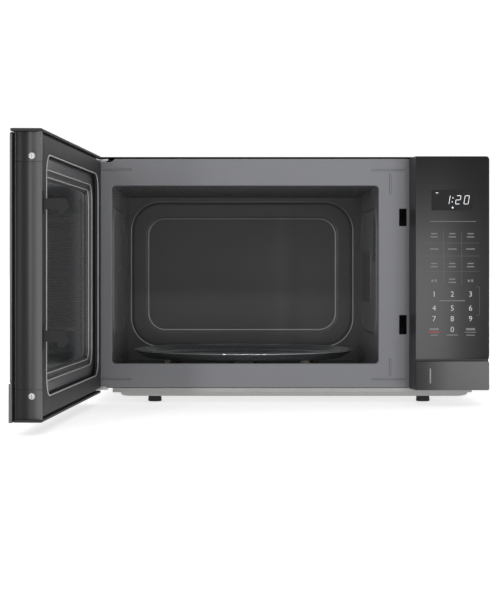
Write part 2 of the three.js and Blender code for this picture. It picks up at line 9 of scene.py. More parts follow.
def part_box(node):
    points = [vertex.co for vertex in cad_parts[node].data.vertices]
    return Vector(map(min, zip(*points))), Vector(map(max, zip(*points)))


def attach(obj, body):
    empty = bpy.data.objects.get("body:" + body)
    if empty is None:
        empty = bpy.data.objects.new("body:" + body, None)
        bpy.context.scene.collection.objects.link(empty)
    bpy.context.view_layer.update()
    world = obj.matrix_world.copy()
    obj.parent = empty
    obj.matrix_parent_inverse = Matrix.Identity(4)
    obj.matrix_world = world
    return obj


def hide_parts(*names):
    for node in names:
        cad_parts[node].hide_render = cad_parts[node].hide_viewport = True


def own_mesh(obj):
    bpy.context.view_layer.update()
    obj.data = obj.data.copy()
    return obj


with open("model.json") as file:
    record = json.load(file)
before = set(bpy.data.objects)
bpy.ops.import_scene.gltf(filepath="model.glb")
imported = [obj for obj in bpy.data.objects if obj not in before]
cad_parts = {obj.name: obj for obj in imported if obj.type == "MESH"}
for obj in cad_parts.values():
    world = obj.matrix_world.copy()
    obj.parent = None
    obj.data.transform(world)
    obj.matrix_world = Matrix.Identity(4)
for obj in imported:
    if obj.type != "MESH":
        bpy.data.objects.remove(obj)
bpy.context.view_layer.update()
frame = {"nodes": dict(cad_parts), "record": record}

# ---- Base pan ----
# The pan under the oven is pressed from galvanised sheet: a flat rim with a shallow trough,
# and a folded front edge that shows as a bright line under the face plate.
# The sheet's spangle is a patchwork of crystals a few millimetres across.


def add_node(tree, kind, values=None, feeds=None, **choices):
    """Adds a node to a surface, makes its choices, sets its sockets and wires what feeds it."""
    node = tree.nodes.new("ShaderNode" + kind)
    for name, choice in choices.items():
        setattr(node, name, choice)
    for socket, value in (values or {}).items():
        node.inputs[socket].default_value = value
    for socket, source in (feeds or {}).items():
        tree.links.new(source, node.inputs[socket])
    return node


def finish(name, colour, roughness, metallic=0.0, vary=0.1, size=400.0, stretch=(1, 1, 1), bump=0.1,
           depth=0.0002, crystals=False, **sockets):
    """A surface whose colour, roughness and relief all wander with one grain."""
    made = bpy.data.materials.new(name)
    made.use_nodes = True
    tree = made.node_tree
    shader = tree.nodes["Principled BSDF"]
    place = add_node(tree, "TexCoord").outputs["Object"]
    spread = add_node(tree, "Mapping", {"Scale": stretch}, {"Vector": place}).outputs["Vector"]
    if crystals:
        level = add_node(tree, "TexVoronoi", {"Scale": size}, {"Vector": spread}).outputs["Color"]
    else:
        level = add_node(tree, "TexNoise", {"Scale": size, "Detail": 5.0}, {"Vector": spread}).outputs["Fac"]
    patch = add_node(tree, "TexNoise", {"Scale": 9.0}, {"Vector": place}).outputs["Fac"]
    share = add_node(tree, "Math", {1: 0.4}, {0: patch}, operation="MULTIPLY").outputs[0]
    blend = add_node(tree, "Math", {1: 0.6}, {0: level, 2: share}, operation="MULTIPLY_ADD").outputs[0]
    dark = (*(c * (1 - vary) for c in colour), 1)
    pale = (*(min(1, c * (1 + vary)) for c in colour), 1)
    tones = add_node(tree, "Mix", {"A": dark, "B": pale}, {"Factor": blend}, data_type="RGBA")
    gloss = add_node(tree, "MapRange", {"To Min": roughness * 0.85, "To Max": min(1.0, roughness * 1.15)},
                     {"Value": blend})
    relief = add_node(tree, "Bump", {"Strength": bump, "Distance": depth}, {"Height": level})
    for socket, source in (("Base Color", tones), ("Roughness", gloss), ("Normal", relief)):
        tree.links.new(source.outputs["Normal" if source == relief else "Result"], shader.inputs[socket])
    shader.inputs["Metallic"].default_value = metallic
    for socket, value in sockets.items():
        shader.inputs[socket.replace("_", " ")].default_value = value
    return made


def arc(cx, cy, radius, start, sweep, steps, level=0.0):
    """Points at one level along part of a circle, its angles in degrees. A full circle isn't closed."""
    angles = [math.radians(start + sweep * i / steps) for i in range(steps + (sweep < 360))]
    return [(cx + radius * math.cos(a), cy + radius * math.sin(a), level) for a in angles]


def ring(x0, x1, y0, y1, radius, level, turns=8):
    """The points of a rounded rectangle at one level: (x, y, level), anticlockwise."""
    middles = ((x1 - radius, y1 - radius), (x0 + radius, y1 - radius),
               (x0 + radius, y0 + radius), (x1 - radius, y0 + radius))
    return [point for quarter, (cx, cy) in enumerate(middles)
            for point in arc(cx, cy, radius, 90 * quarter, 90, turns, level)]


def skin(shape, loops, first_cap=False, last_cap=True):
    """Adds a skin over a row of equal loops to a bmesh and returns the loops' vertices."""
    rows = [[shape.verts.new(p) for p in loop] for loop in loops]
    for one, two in zip(rows, rows[1:]):
        for i in range(len(one)):
            j = (i + 1) % len(one)
            shape.faces.new((one[i], one[j], two[j], two[i]))
    if first_cap:
        shape.faces.new(rows[0][::-1])
    if last_cap:
        shape.faces.new(rows[-1])
    return rows


def drawn(shape, points, levels, **caps):
    """Draws one flat outline straight through a row of levels."""
    return skin(shape, [[(x, y, level) for x, y, _ in points] for level in levels], **caps)


# How a piece drawn flat lies in the oven: its own x, y and z as directions in space.
FLOOR = Matrix.Identity(4)
FRONT = Matrix(((1, 0, 0, 0), (0, 0, 1, 0), (0, 1, 0, 0), (0, 0, 0, 1)))
SIDE = Matrix(((0, 0, 1, 0), (1, 0, 0, 0), (0, 1, 0, 0), (0, 0, 0, 1)))


def make(name, shape, lay, surface, body, slot, nodes=(), sheet=0.0, edge=0.0, smooth=40, inward=-1.0):
    """Turns a bmesh into a finished piece of the oven, with its sheet thickness and broken edges."""
    bmesh.ops.remove_doubles(shape, verts=shape.verts, dist=1e-6)
    bmesh.ops.transform(shape, matrix=lay, verts=shape.verts)
    bmesh.ops.recalc_face_normals(shape, faces=shape.faces)
    mesh = bpy.data.meshes.new(name)
    shape.to_mesh(mesh)
    shape.free()
    mesh.materials.append(surface)
    piece = bpy.data.objects.new(name, mesh)
    bpy.context.collection.objects.link(piece)
    mesh.polygons.foreach_set("use_smooth", [True] * len(mesh.polygons))
    mesh.set_sharp_from_angle(angle=math.radians(smooth))
    if sheet:
        thicken = piece.modifiers.new("sheet", "SOLIDIFY")
        thicken.thickness = sheet
        thicken.offset = inward
    if edge:
        soften = piece.modifiers.new("edge", "BEVEL")
        soften.width = edge
        soften.segments = 3
        soften.limit_method = "ANGLE"
        soften.angle_limit = math.radians(35)
    settle = piece.modifiers.new("normals", "WEIGHTED_NORMAL")
    settle.keep_sharp = True
    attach(piece, body)
    if nodes:
        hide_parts(*nodes)
    return piece


galvanised = finish("galvanised sheet", (0.33, 0.33, 0.325), 0.42, 0.85, vary=0.07, size=170, crystals=True,
                    bump=0.02)
PAN_SHEET = 0.001
pan_low, pan_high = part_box("base_plate")
rim, under = pan_high.z - 0.0006, pan_low.z + 0.0001
trough_left, trough_right = pan_low.x + 0.0372, pan_high.x - 0.0158
pan = bmesh.new()
pan_rows = [ring(pan_low.x + 0.0003, pan_high.x - 0.0003, pan_low.y + 0.004, pan_high.y, 0.003, rim)]
# How far each row of the trough is drawn in at the left, right, front and back, its corner and height.
for left, right, front, back, corner, height in (
    (0, 0, 0.0015, 0.009, 0.009, rim), (0.001, 0.002, 0.0017, 0.010, 0.011, rim - 0.004),
    (0.0026, 0.005, 0.0022, 0.012, 0.012, rim - 0.009), (0.0052, 0.009, 0.004, 0.015, 0.012, under),
    (0.02, 0.026, 0.018, 0.03, 0.008, under), (0.022, 0.028, 0.02, 0.032, 0.008, under + 0.0017),
):
    pan_rows.append(ring(trough_left + left, trough_right - right, pan_low.y + front, pan_high.y - back,
                         corner, height))
skin(pan, pan_rows)
make("base_pan", pan, FLOOR, galvanised, "case", "galvanised", ["base_plate"], sheet=PAN_SHEET, smooth=30,
     inward=1.0)

front_fold = bmesh.new()
fold_y = pan_low.y + 0.0003
drawn(front_fold, ring(pan_low.x + 0.0292, trough_right, rim - 0.0057, rim + 0.0004, 0.0015, 0),
      (fold_y, fold_y + 0.0012), first_cap=True)
make("base_front_edge", front_fold, FRONT, galvanised, "case", "galvanised", edge=0.0003)

# ---- Feet ----
# Four moulded rubber feet are pushed through the pan. Each has a flared rim and a hollow middle.
rubber = finish("foot rubber", (0.012, 0.012, 0.013), 0.75, vary=0.2, size=900, bump=0.2)


def turn(shape, profile, sides=48):
    """Turns a profile of (radius, height) points about the upright axis through the origin."""
    rows = []
    for i in range(sides):
        angle = 2 * math.pi * i / sides
        rows.append([shape.verts.new((r * math.cos(angle), r * math.sin(angle), h)) for r, h in profile])
    for one, two in zip(rows, rows[1:] + rows[:1]):
        for i in range(len(profile) - 1):
            shape.faces.new((one[i], two[i], two[i + 1], one[i + 1]))
    bmesh.ops.remove_doubles(shape, verts=shape.verts, dist=1e-7)


for foot_name in ("foot_front_left", "foot_front_right", "foot_rear_left", "foot_rear_right"):
    low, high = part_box(foot_name)
    radius, height = (high.x - low.x) / 2, high.z
    foot = bmesh.new()
    turn(foot, [(0, 0.0012), (0.0035, 0.0012), (0.0045, 0.0002), (0.0052, 0), (radius - 0.0012, 0),
                (radius - 0.0004, 0.0004), (radius, 0.0014), (radius - 0.0006, height - 0.0016),
                (radius - 0.0006, height - 0.0003), (radius - 0.001, height), (0, height)])
    centre = Matrix.Translation(((low.x + high.x) / 2, (low.y + high.y) / 2, 0))
    make(foot_name + "_pad", foot, centre, rubber, "case", "rubber", [foot_name])

# ---- Cavity ----
# The cooking cavity is a welded box of enamelled steel. Its back and side walls carry stamped
# stiffening rings, and each side wall has a patch of small punched vent holes. The side walls
# are given painted light: their enamel is a shade lighter than the back's, though it is the same.
cavity_enamel = finish("cavity enamel", (0.100, 0.100, 0.104), 0.26, vary=0.06, size=1500, bump=0.03,
                       Specular_IOR_Level=0.3)
left_low, left_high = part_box("cavity_left_wall")
right_low, back_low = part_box("cavity_right_wall")[0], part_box("cavity_back_wall")[0]
roof_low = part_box("cavity_ceiling")[0]
floor_low, floor_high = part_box("cavity_floor")
cav_x0, cav_x1 = left_high.x + 0.0003, right_low.x - 0.0003
cav_z0, cav_z1 = floor_high.z, roof_low.z
cav_y0, cav_y1 = left_low.y, back_low.y


def inset_ring(bounds, inset, radius, level, turns=12):
    """A rounded rectangle drawn in from its bounds all round."""
    x0, x1, y0, y1 = bounds
    return ring(x0 + inset, x1 - inset, y0 + inset, y1 - inset, radius, level, turns)


def rounded_step(inset, radius, level, rise, width):
    """A pressed step as a smooth S over its width, as a list of (inset, radius, level)."""
    return [(inset + width * t, radius - width * t, level + rise * (1 - math.cos(math.pi * t)) / 2)
            for t in (i / 6 for i in range(7))]


SEAM = 0.0008
back_wall = bmesh.new()
outer_ring = (cav_x0 + 0.0043, cav_x1 - 0.006, cav_z0 + 0.0207, cav_z1 - 0.0058)
inner_ring = (cav_x0 + 0.0312, cav_x1 - 0.0332, cav_z0 + 0.0471, cav_z1 - 0.0322)
loops = [inset_ring((cav_x0, cav_x1, cav_z0, cav_z1), -SEAM, 0.001, cav_y1)]
for inset, radius, level in rounded_step(0.0006, 0.0444, cav_y1, -0.0012, 0.005):
    loops.append(inset_ring(outer_ring, inset, radius, level))
for inset, radius, level in rounded_step(-0.0046, 0.0306, cav_y1 - 0.0012, 0.0012, 0.004):
    loops.append(inset_ring(inner_ring, inset, radius, level))
skin(back_wall, loops)
make("cavity_back", back_wall, FRONT, cavity_enamel, "case", "cavity", ["cavity_back_wall"], smooth=50)


def bead(shape, bounds, radius, level, half, high):
    """A rounded bead standing on a face, along a rounded rectangle."""
    rows = [(half * along, high * rise) for along, rise, _ in arc(0, 0, 1, 0, 180, 6)]
    skin(shape, [inset_ring(bounds, -along, radius + along, level + rise) for along, rise in rows],
         last_cap=False)


def paint_light_along(surface, axis, stops):
    """Paints light and shade into a surface's colour: scales it along an axis of the oven, by (position,
    factor) stops.
    """
    tree = surface.node_tree
    shader = tree.nodes["Principled BSDF"]
    first, last = stops[0][0], stops[-1][0]
    place = add_node(tree, "TexCoord").outputs["Object"]
    along = add_node(tree, "SeparateXYZ", feeds={0: place}).outputs[axis]
    span = add_node(tree, "MapRange", {"From Min": first, "From Max": last},
                    {"Value": along}).outputs["Result"]
    ramp = add_node(tree, "ValToRGB", feeds={"Fac": span})
    ramp.color_ramp.interpolation = "B_SPLINE"
    while len(ramp.color_ramp.elements) < len(stops):
        ramp.color_ramp.elements.new(0.5)
    for element, (position, factor) in zip(ramp.color_ramp.elements, stops):
        element.position = (position - first) / (last - first)
        element.color = (factor, factor, factor, 1)
    scale = add_node(tree, "Mix", {"Factor": 1.0}, data_type="RGBA", blend_type="MULTIPLY")
    tree.links.new(shader.inputs["Base Color"].links[0].from_socket, scale.inputs["A"])
    tree.links.new(ramp.outputs["Color"], scale.inputs["B"])
    tree.links.new(scale.outputs["Result"], shader.inputs["Base Color"])


# Painted highlight: the beads use an enamel six times lighter than the wall's, standing in for the light
# along their crowns. It is painted brightest through the middle of the wall's height and much darker along
# the top.
bead_painted_highlight = finish("bead painted highlight", (0.60, 0.60, 0.605), 0.25, vary=0.05, size=1500, bump=0.03)
paint_light_along(bead_painted_highlight, "Z", [(cav_z0, 1.0), (cav_z0 + 0.08, 1.6), (cav_z1 - 0.06, 1.6), (cav_z1 - 0.035, 0.40),
                        (cav_z1, 0.40)])
beads = bmesh.new()
bead(beads, outer_ring, 0.045, cav_y1 + 0.0001, 0.0008, -0.0010)
bead(beads, inner_ring, 0.026, cav_y1 + 0.0001, 0.0009, -0.0010)
make("cavity_beads", beads, FRONT, bead_painted_highlight, "case", "cavity", smooth=60)


def filled(shape, loops):
    """Fills between an outline and the holes in it, all flat, and returns the loops' vertices."""
    rows = [[shape.verts.new(p) for p in loop] for loop in loops]
    edges = [shape.edges.new((row[i], row[(i + 1) % len(row)])) for row in rows for i in range(len(row))]
    bmesh.ops.triangle_fill(shape, edges=edges, use_beauty=True, use_dissolve=False)
    return rows


def corners(x0, x1, y0, y1, level):
    """The four corners of a rectangle, anticlockwise."""
    return [(x1, y1, level), (x0, y1, level), (x0, y0, level), (x1, y0, level)]


def punched(shape, x0, x1, y0, y1, pitch, hole, level):
    """A sheet of round holes in staggered rows that fills a rectangle, one square cell per hole."""
    columns = max(1, round((x1 - x0) / pitch))
    rows = max(1, round((y1 - y0) / (pitch * 0.87)))
    wide, tall = (x1 - x0) / columns, (y1 - y0) / rows
    sides = 8
    for row in range(rows):
        bottom = y0 + tall * row
        cy = bottom + tall / 2
        for column in range(columns - row % 2):
            cx = x0 + wide * (column + 0.5 + 0.5 * (row % 2))
            inner, outer = [], []
            for px, py, _ in arc(0, 0, 1, 180 / sides, 360, sides):
                reach = max(abs(px), abs(py))
                inner.append(shape.verts.new((cx + hole * px, cy + hole * py, level)))
                outer.append(shape.verts.new((cx + wide / 2 * px / reach, cy + tall / 2 * py / reach, level)))
            tips = [shape.verts.new((cx + wide / 2 * sx, cy + tall / 2 * sy, level))
                    for sx, sy in ((1, 1), (-1, 1), (-1, -1), (1, -1))]
            for k in range(sides):
                after = (k + 1) % sides
                tip = [tips[k // 2]] if k % 2 == 0 else []
                shape.faces.new([outer[k]] + tip + [outer[after], inner[after], inner[k]])
        if row % 2:
            for edge_x in (x0, x1 - wide / 2):
                shape.faces.new([shape.verts.new(p) for p in corners(edge_x, edge_x + wide / 2, bottom,
                                                                     bottom + tall, level)])


# Side walls are drawn with x to the back of the oven and y up.
# Painted light: the side walls use a copy of the cavity enamel about twice as light as the back's.
side_wall_painted_light = finish("side wall painted light", (0.205, 0.207, 0.214), 0.26, vary=0.06, size=1500, bump=0.03,
                     Specular_IOR_Level=0.3)
band = (cav_y0 + 0.014, cav_y0 + 0.257, cav_z0 + 0.050, cav_z0 + 0.2258)
BAND_CORNER = 0.038
LAMP_PITCH, LAMP_HOLE = 0.004, 0.00125
VENT_PITCH, VENT_HOLE = 0.0044, 0.0014
for side, wall_x, rise in (("left", cav_x0, 0.0016), ("right", cav_x1, -0.0016)):
    wall = bmesh.new()
    outline = ring(cav_y0, cav_y1 + 0.0002, cav_z0 - SEAM, cav_z1 + SEAM, 0.0005, wall_x, 2)
    holes = [inset_ring(band, 0, BAND_CORNER, wall_x, 8)]
    if side == "left":
        patch = (cav_y0 + 0.002, cav_y0 + 0.044, cav_z1 - 0.0135, cav_z1 - 0.0015)
        holes.append(corners(*patch, wall_x))
        punched(wall, *patch, LAMP_PITCH, LAMP_HOLE, wall_x)
    filled(wall, [outline] + holes)
    inner_level = wall_x + rise * 0.2
    loops = [inset_ring(band, *step, 8) for step in rounded_step(0, BAND_CORNER, wall_x, rise, 0.005)]
    loops += [inset_ring(band, 0.008, 0.032, wall_x + rise, 8),
              inset_ring(band, 0.011, 0.029, inner_level, 8)]
    skin(wall, loops, last_cap=side == "left")
    if side == "right":
        patch = (cav_y0 + 0.026, cav_y0 + 0.070, cav_z0 + 0.1498, cav_z0 + 0.2128)
        filled(wall, [loops[-1], corners(*patch, inner_level)])
        punched(wall, *patch, VENT_PITCH, VENT_HOLE, inner_level)
    make(f"cavity_{side}", wall, SIDE, side_wall_painted_light, "case", "cavity", [f"cavity_{side}_wall"], smooth=50)

# Floor: a shallow round track for the rollers about the hub hole. Ceiling: plain with a shallow ring.
tray_low, tray_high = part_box("glass_tray")
table = Vector(((tray_low.x + tray_high.x) / 2, (tray_low.y + tray_high.y) / 2, 0))
tray_radius = (tray_high.x - tray_low.x) / 2


cavity_floor = bmesh.new()
outline = ring(cav_x0 - SEAM, cav_x1 + SEAM, floor_low.y, cav_y1 + 0.0002, 0.0005, cav_z0, 2)
track = [arc(table.x, table.y, radius, 0, 360, 64, cav_z0 - deep) for radius, deep in (
    (0.140, 0), (0.138, 0.0005), (0.136, 0.0006), (0.094, 0.0006), (0.092, 0.0002), (0.0095, 0.0002),
    (0.0092, 0.002))]
filled(cavity_floor, [outline, track[0]])
skin(cavity_floor, track, last_cap=False)
make("cavity_floor_sheet", cavity_floor, FLOOR, cavity_enamel, "case", "cavity", ["cavity_floor"], smooth=50)

ceiling = bmesh.new()
roof_outline = (cav_x0 - SEAM, cav_x1 + SEAM, cav_y0, cav_y1 + 0.0002)
loops = [ring(*roof_outline, 0.0005, cav_z1)]
loops += [inset_ring(roof_outline, 0.03 + inset, radius, level, 8)
          for inset, radius, level in rounded_step(0, 0.03, cav_z1, 0.0008, 0.004)]
skin(ceiling, loops)
make("cavity_roof_sheet", ceiling, FLOOR, cavity_enamel, "case", "cavity", ["cavity_ceiling"], smooth=50)

# ---- Face plate ----
# The front of the case is one pressing, enamelled grey. Its oven opening is turned in as a
# smooth lip, two slots take the door's hooks, and stamped grooves stiffen the corners.
face_enamel = finish("face enamel", (0.178, 0.180, 0.193), 0.40, vary=0.04, size=1300, bump=0.08,
                     Specular_IOR_Level=0.4)
face_low, face_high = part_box("face_plate")
front_y = face_low.y
mid_x = (face_low.x + face_high.x) / 2
# Painted shade: the enamel is darkened towards the left edge, next to the open door, and steeply towards the
# control panel, which stands forward of the plate. Just short of the panel it is painted a little lighter.
paint_light_along(face_enamel, "X", [(face_low.x, 0.86), (mid_x - 0.19, 0.96), (mid_x - 0.03, 1.0), (mid_x + 0.138, 1.08),
                        (mid_x + 0.155, 0.70), (mid_x + 0.170, 0.36)])


def stadium(x0, y0, x1, y1, radius, level, turns=6):
    """A groove outline round the line from (x0, y0) to (x1, y1)."""
    along = math.degrees(math.atan2(y1 - y0, x1 - x0))
    return (arc(x1, y1, radius, along - 90, 180, turns, level)
            + arc(x0, y0, radius, along + 90, 180, turns, level))


OPENING = (cav_x0, cav_x1, 0.0535, 0.2895)
LIP = 0.0016
OPENING_CORNER = 0.005
GROOVE = 0.0016
SLOT_CORNER = 0.0008
grooves = []
for z in (0.0332, 0.311):
    grooves.append((mid_x - 0.2555, z, mid_x - 0.2085, z))
for bar_z, stem_z in ((0.3101, 0.2792), (0.0327, 0.059)):
    near = bar_z + (-0.0055 if stem_z < bar_z else 0.0055)
    grooves.append((mid_x + 0.1132, bar_z, mid_x + 0.1550, bar_z))
    grooves.append((mid_x + 0.1370, near, mid_x + 0.1370, stem_z))
plate = bmesh.new()
notch_x = mid_x - 0.2330
plate_outline = [
    (mid_x - 0.2500, face_low.z), (mid_x - 0.2500, face_low.z + 0.001), (mid_x - 0.2380, face_low.z + 0.001),
    (mid_x - 0.2380, face_low.z), (face_high.x, face_low.z), (face_high.x, face_high.z),
    (notch_x + 0.0043, face_high.z), (notch_x, face_high.z - 0.0041), (face_low.x, face_high.z - 0.0041),
    (face_low.x, face_low.z),
]
plate_loops = [[(x, z, front_y) for x, z in plate_outline]]
plate_loops.append(inset_ring(OPENING, -LIP, OPENING_CORNER + LIP, front_y, 8))
slot_low, slot_high = (0.0920, 0.1179), (0.2357, 0.2591)
slots = [(mid_x + 0.14855, mid_x + 0.15875, *span) for span in (slot_low, slot_high)]
plate_loops += [ring(*slot, SLOT_CORNER, front_y, 3) for slot in slots]
plate_loops.append(ring(mid_x + 0.176, mid_x + 0.255, 0.075, 0.300, 0.004, front_y, 4))
plate_loops.append(ring(mid_x + 0.168, mid_x + 0.178, 0.042, 0.057, 0.002, front_y, 4))
plate_loops += [stadium(*groove, GROOVE, front_y) for groove in grooves]
filled(plate, plate_loops)
lip_turn = [inset_ring(OPENING, out - LIP, OPENING_CORNER + LIP - out, front_y + LIP - back, 8)
            for back, out, _ in arc(0, 0, LIP, 0, 90, 6)]
lip_turn.append(inset_ring(OPENING, 0, OPENING_CORNER, face_high.y, 8))
skin(plate, lip_turn, last_cap=False)
for groove in grooves:
    skin(plate, [stadium(*groove, GROOVE, front_y), stadium(*groove, GROOVE * 0.72, front_y + 0.0005),
                 stadium(*groove, GROOVE * 0.35, front_y + 0.0010)])
for slot in slots:
    skin(plate, [inset_ring(slot, inset, SLOT_CORNER, front_y + deep, 3)
                 for inset, deep in ((0, 0), (0.0002, 0.0012))], last_cap=False)
make("face_plate_pressing", plate, FRONT, face_enamel, "case", "grey_face", ["face_plate"], smooth=38)

# The pressing's top and sides turn back under the cover and close the seam to the case.
flanges = bmesh.new()
FLANGE_DEEP, FLANGE_SHEET = 0.012, 0.0008
for x0, x1, z0, z1 in (
    (notch_x + 0.006, face_high.x - 0.0012, face_high.z - FLANGE_SHEET, face_high.z - 0.0001),
    (face_high.x - FLANGE_SHEET, face_high.x - 0.0001, face_low.z + 0.002, face_high.z - 0.0012),
    (face_low.x + 0.0001, face_low.x + FLANGE_SHEET, face_low.z + 0.014, face_high.z - 0.014),
):
    drawn(flanges, ring(x0, x1, z0, z1, 0.0002, 0, 2), (front_y + 0.0003, front_y + FLANGE_DEEP),
          first_cap=True)
make("face_plate_flanges", flanges, FRONT, face_enamel, "case", "grey_face")

# ---- Waveguide cover ----
# A thin sheet of pressed mica keeps splashes out of the waveguide. It is held by two rivets, and
# its flakes give it a mottled brown-grey look.
mica = finish("pressed mica", (0.185, 0.175, 0.165), 0.6, vary=0.35, size=260, crystals=True, bump=0.1)
mica_low, mica_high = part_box("waveguide_cover")
mica_sheet = bmesh.new()
drawn(mica_sheet, ring(mica_low.y, mica_high.y, mica_low.z, mica_high.z, 0.004, 0, 5),
      (mica_high.x, mica_low.x),
      first_cap=True)
make("mica_cover", mica_sheet, SIDE, mica, "case", "mica", ["waveguide_cover"], edge=0.0001)
bright_zinc = finish("bright zinc", (0.62, 0.63, 0.64), 0.28, 0.95, vary=0.1, size=700, bump=0.06)
aged_rivet = finish("aged rivet", (0.12, 0.12, 0.12), 0.5, 0.5, vary=0.1, size=700, bump=0.06)
for y in (mica_low.y + 0.008, mica_high.y - 0.008):
    rivet = bmesh.new()
    turn(rivet, [(0, 0.0011), (0.0012, 0.001), (0.0022, 0.0006), (0.0026, 0.0001), (0.0026, 0), (0, 0)], 24)
    spot = Matrix.Translation((mica_low.x, y, (mica_low.z + mica_high.z) / 2))
    turned = spot @ Matrix.Rotation(-math.pi / 2, 4, "Y")
    make(f"mica_rivet_{round(y * 1000)}", rivet, turned, aged_rivet, "case", "zinc")

# ---- Turntable ----
# A ring with three little wheels runs on the cavity floor and carries the glass tray, which the
# drive hub turns from below. The ring and wheels are heat-proof mouldings, the tray is pressed glass.
wheel_plastic = finish("natural acetal", (0.62, 0.58, 0.50), 0.45, vary=0.06, size=600, bump=0.06)
ring_plastic = finish("ring moulding", (0.17, 0.12, 0.075), 0.5, vary=0.12, size=500, bump=0.08)
ring_low, ring_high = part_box("roller_ring")
ring_middle = Vector((table.x, table.y, (ring_low.z + ring_high.z) / 2))
ring_outer, ring_inner = 0.109, 0.100
RING_ROUND = 0.0012
quarter = [(RING_ROUND * x, 0.0008 * z + RING_ROUND * (z > 0.01)) for x, z, _ in arc(0, 0, 1, 0, 90, 2)]
half_round = [(x, -z) for x, z in quarter[:0:-1]] + quarter
profile = ([(ring_outer - RING_ROUND + x, z) for x, z in half_round]
           + [(ring_inner + RING_ROUND - x, z) for x, z in half_round[::-1]])
roller_ring = bmesh.new()
turn(roller_ring, profile + profile[:1], 96)


def merge(whole, part, lay=FLOOR):
    """Adds a part to a larger piece, laid as told."""
    bmesh.ops.transform(part, matrix=lay, verts=part.verts)
    loose = bpy.data.meshes.new("part")
    part.to_mesh(loose)
    part.free()
    whole.from_mesh(loose)
    bpy.data.meshes.remove(loose)


roller_names = ("roller_1", "roller_2", "roller_3")
ROLLER_ORBIT = 0.115
tread = [(0.0021, -0.004), (0.0036, -0.004), (0.0040, -0.0032), (0.0055, -0.0032), (0.0060, -0.004),
         (0.0064, -0.004), (0.0069, -0.0034), (0.0070, -0.0026)]
for name in roller_names:
    low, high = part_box(name)
    hub_line = (low + high) / 2 - ring_middle
    heading = Matrix.Rotation(math.atan2(hub_line.y, hub_line.x), 4, "Z")
    pin = bmesh.new()
    turn(pin, [(0, 0.1055), (0.0016, 0.1055), (0.0016, 0.1196), (0.0012, 0.1203), (0, 0.1203)], 20)
    saddle = Matrix.Rotation(math.pi / 2, 4, "Y")
    merge(roller_ring, pin, heading @ saddle)
    wheel = bmesh.new()
    turn(wheel, tread + [(r, -h) for r, h in tread[::-1]] + tread[:1], 48)
    spot = Matrix.Translation(ring_middle) @ heading @ Matrix.Translation((ROLLER_ORBIT, 0, 0))
    make(name + "_wheel", wheel, spot @ saddle, wheel_plastic, f"roller_{'abc'[roller_names.index(name)]}",
         "pale_plastic", [name], smooth=30)
make("roller_ring_moulding", roller_ring, Matrix.Translation(ring_middle), ring_plastic, "ring",
     "tan_plastic", ["roller_ring"])

tray_glass = finish("turntable glass", (0.80, 0.86, 0.86), 0.04, vary=0.02, size=30, bump=0.02, depth=0.0001,
                    Transmission_Weight=0.94, IOR=1.5, Coat_Weight=1.0, Coat_IOR=2.0,
                    Coat_Roughness=0.03)
tray_base, tray_rim = tray_low.z + 0.0036, tray_high.z
tray = bmesh.new()
turn(tray, [(0, tray_base), (0.012, tray_base), (0.0135, tray_base - 0.0003), (0.060, tray_base - 0.0003),
            (0.0625, tray_base), (0.136, tray_base), (0.1405, tray_base + 0.0006),
            (0.1445, tray_base + 0.0024),
            (0.1535, tray_rim - 0.0040), (0.1562, tray_rim - 0.0028), (0.1573, tray_rim - 0.0018),
            (tray_radius, tray_rim - 0.0011), (0.1573, tray_rim - 0.0004), (0.1562, tray_rim),
            (0.1545, tray_rim - 0.0003), (0.1525, tray_rim - 0.0012), (0.1425, tray_base + 0.0052),
            (0.1385, tray_base + 0.0041), (0.135, tray_base + 0.0038), (0.060, tray_base + 0.0038),
            (0.058, tray_base + 0.0042), (0.014, tray_base + 0.0042), (0.012, tray_base + 0.0038),
            (0, tray_base + 0.0038)], 144)
make("turntable_tray", tray, Matrix.Translation(table), tray_glass, "tray", "clear_glass", ["glass_tray"],
     smooth=50)
# Painted highlight: a thin ring of pale, opaque glass along the tray's rim stands in for the light the rim
# catches.
tray_edge_highlight = finish("tray edge highlight", (0.84, 0.88, 0.88), 0.12, vary=0.5, size=14, bump=0.02)
tray_edge = bmesh.new()
EDGE_ROUND = 0.0007
edge_profile = [p[:2] for p in arc(tray_radius - EDGE_ROUND, tray_rim - 0.0010, EDGE_ROUND, 0, 360, 8)]
turn(tray_edge, edge_profile + edge_profile[:1], 144)
make("tray_edge", tray_edge, Matrix.Translation(table), tray_edge_highlight, "tray", "clear_glass", smooth=60)


def dress(node, surface, edge):
    """Gives a CAD node its real surface and broken edges, without changing its mesh."""
    thing = frame["nodes"][node]
    thing.data.materials.clear()
    thing.data.materials.append(surface)
    soften = thing.modifiers.new("edge", "BEVEL")
    soften.width = edge
    soften.segments = 2
    soften.limit_method = "ANGLE"
    soften.angle_limit = math.radians(35)


dress("drive_hub", wheel_plastic, 0.0005)
dress("turntable_motor", bright_zinc, 0.0006)

# ---- Microwave supply ----
# Behind the right wall stand the magnetron in its finned yoke, the waveguide, the inverter board
# with its heat sink and ferrite transformer, and the mains filter board.
mill_aluminium = finish("mill aluminium", (0.62, 0.63, 0.65), 0.35, 0.95, vary=0.08, size=500,
                        stretch=(1, 1, 8), bump=0.08)
solder_mask = finish("green solder mask", (0.03, 0.13, 0.06), 0.4, vary=0.25, size=220, crystals=True,
                     bump=0.1)
winding = finish("copper winding", (0.42, 0.17, 0.07), 0.35, 0.7, vary=0.25, size=300, stretch=(0.2, 6, 0.2),
                 bump=0.4)
switch_plastic = finish("black moulding", (0.022, 0.022, 0.023), 0.5, vary=0.12, size=900, bump=0.12)
for node, surface, edge in (
    ("waveguide", galvanised, 0.0003), ("magnetron", mill_aluminium, 0.0002),
    ("thermal_cutout", switch_plastic, 0.0003), ("inverter_board", solder_mask, 0.0002),
    ("inverter_heatsink", mill_aluminium, 0.0003), ("inverter_transformer", winding, 0.0006),
    ("noise_filter_board", solder_mask, 0.0003),
):
    dress(node, surface, edge)

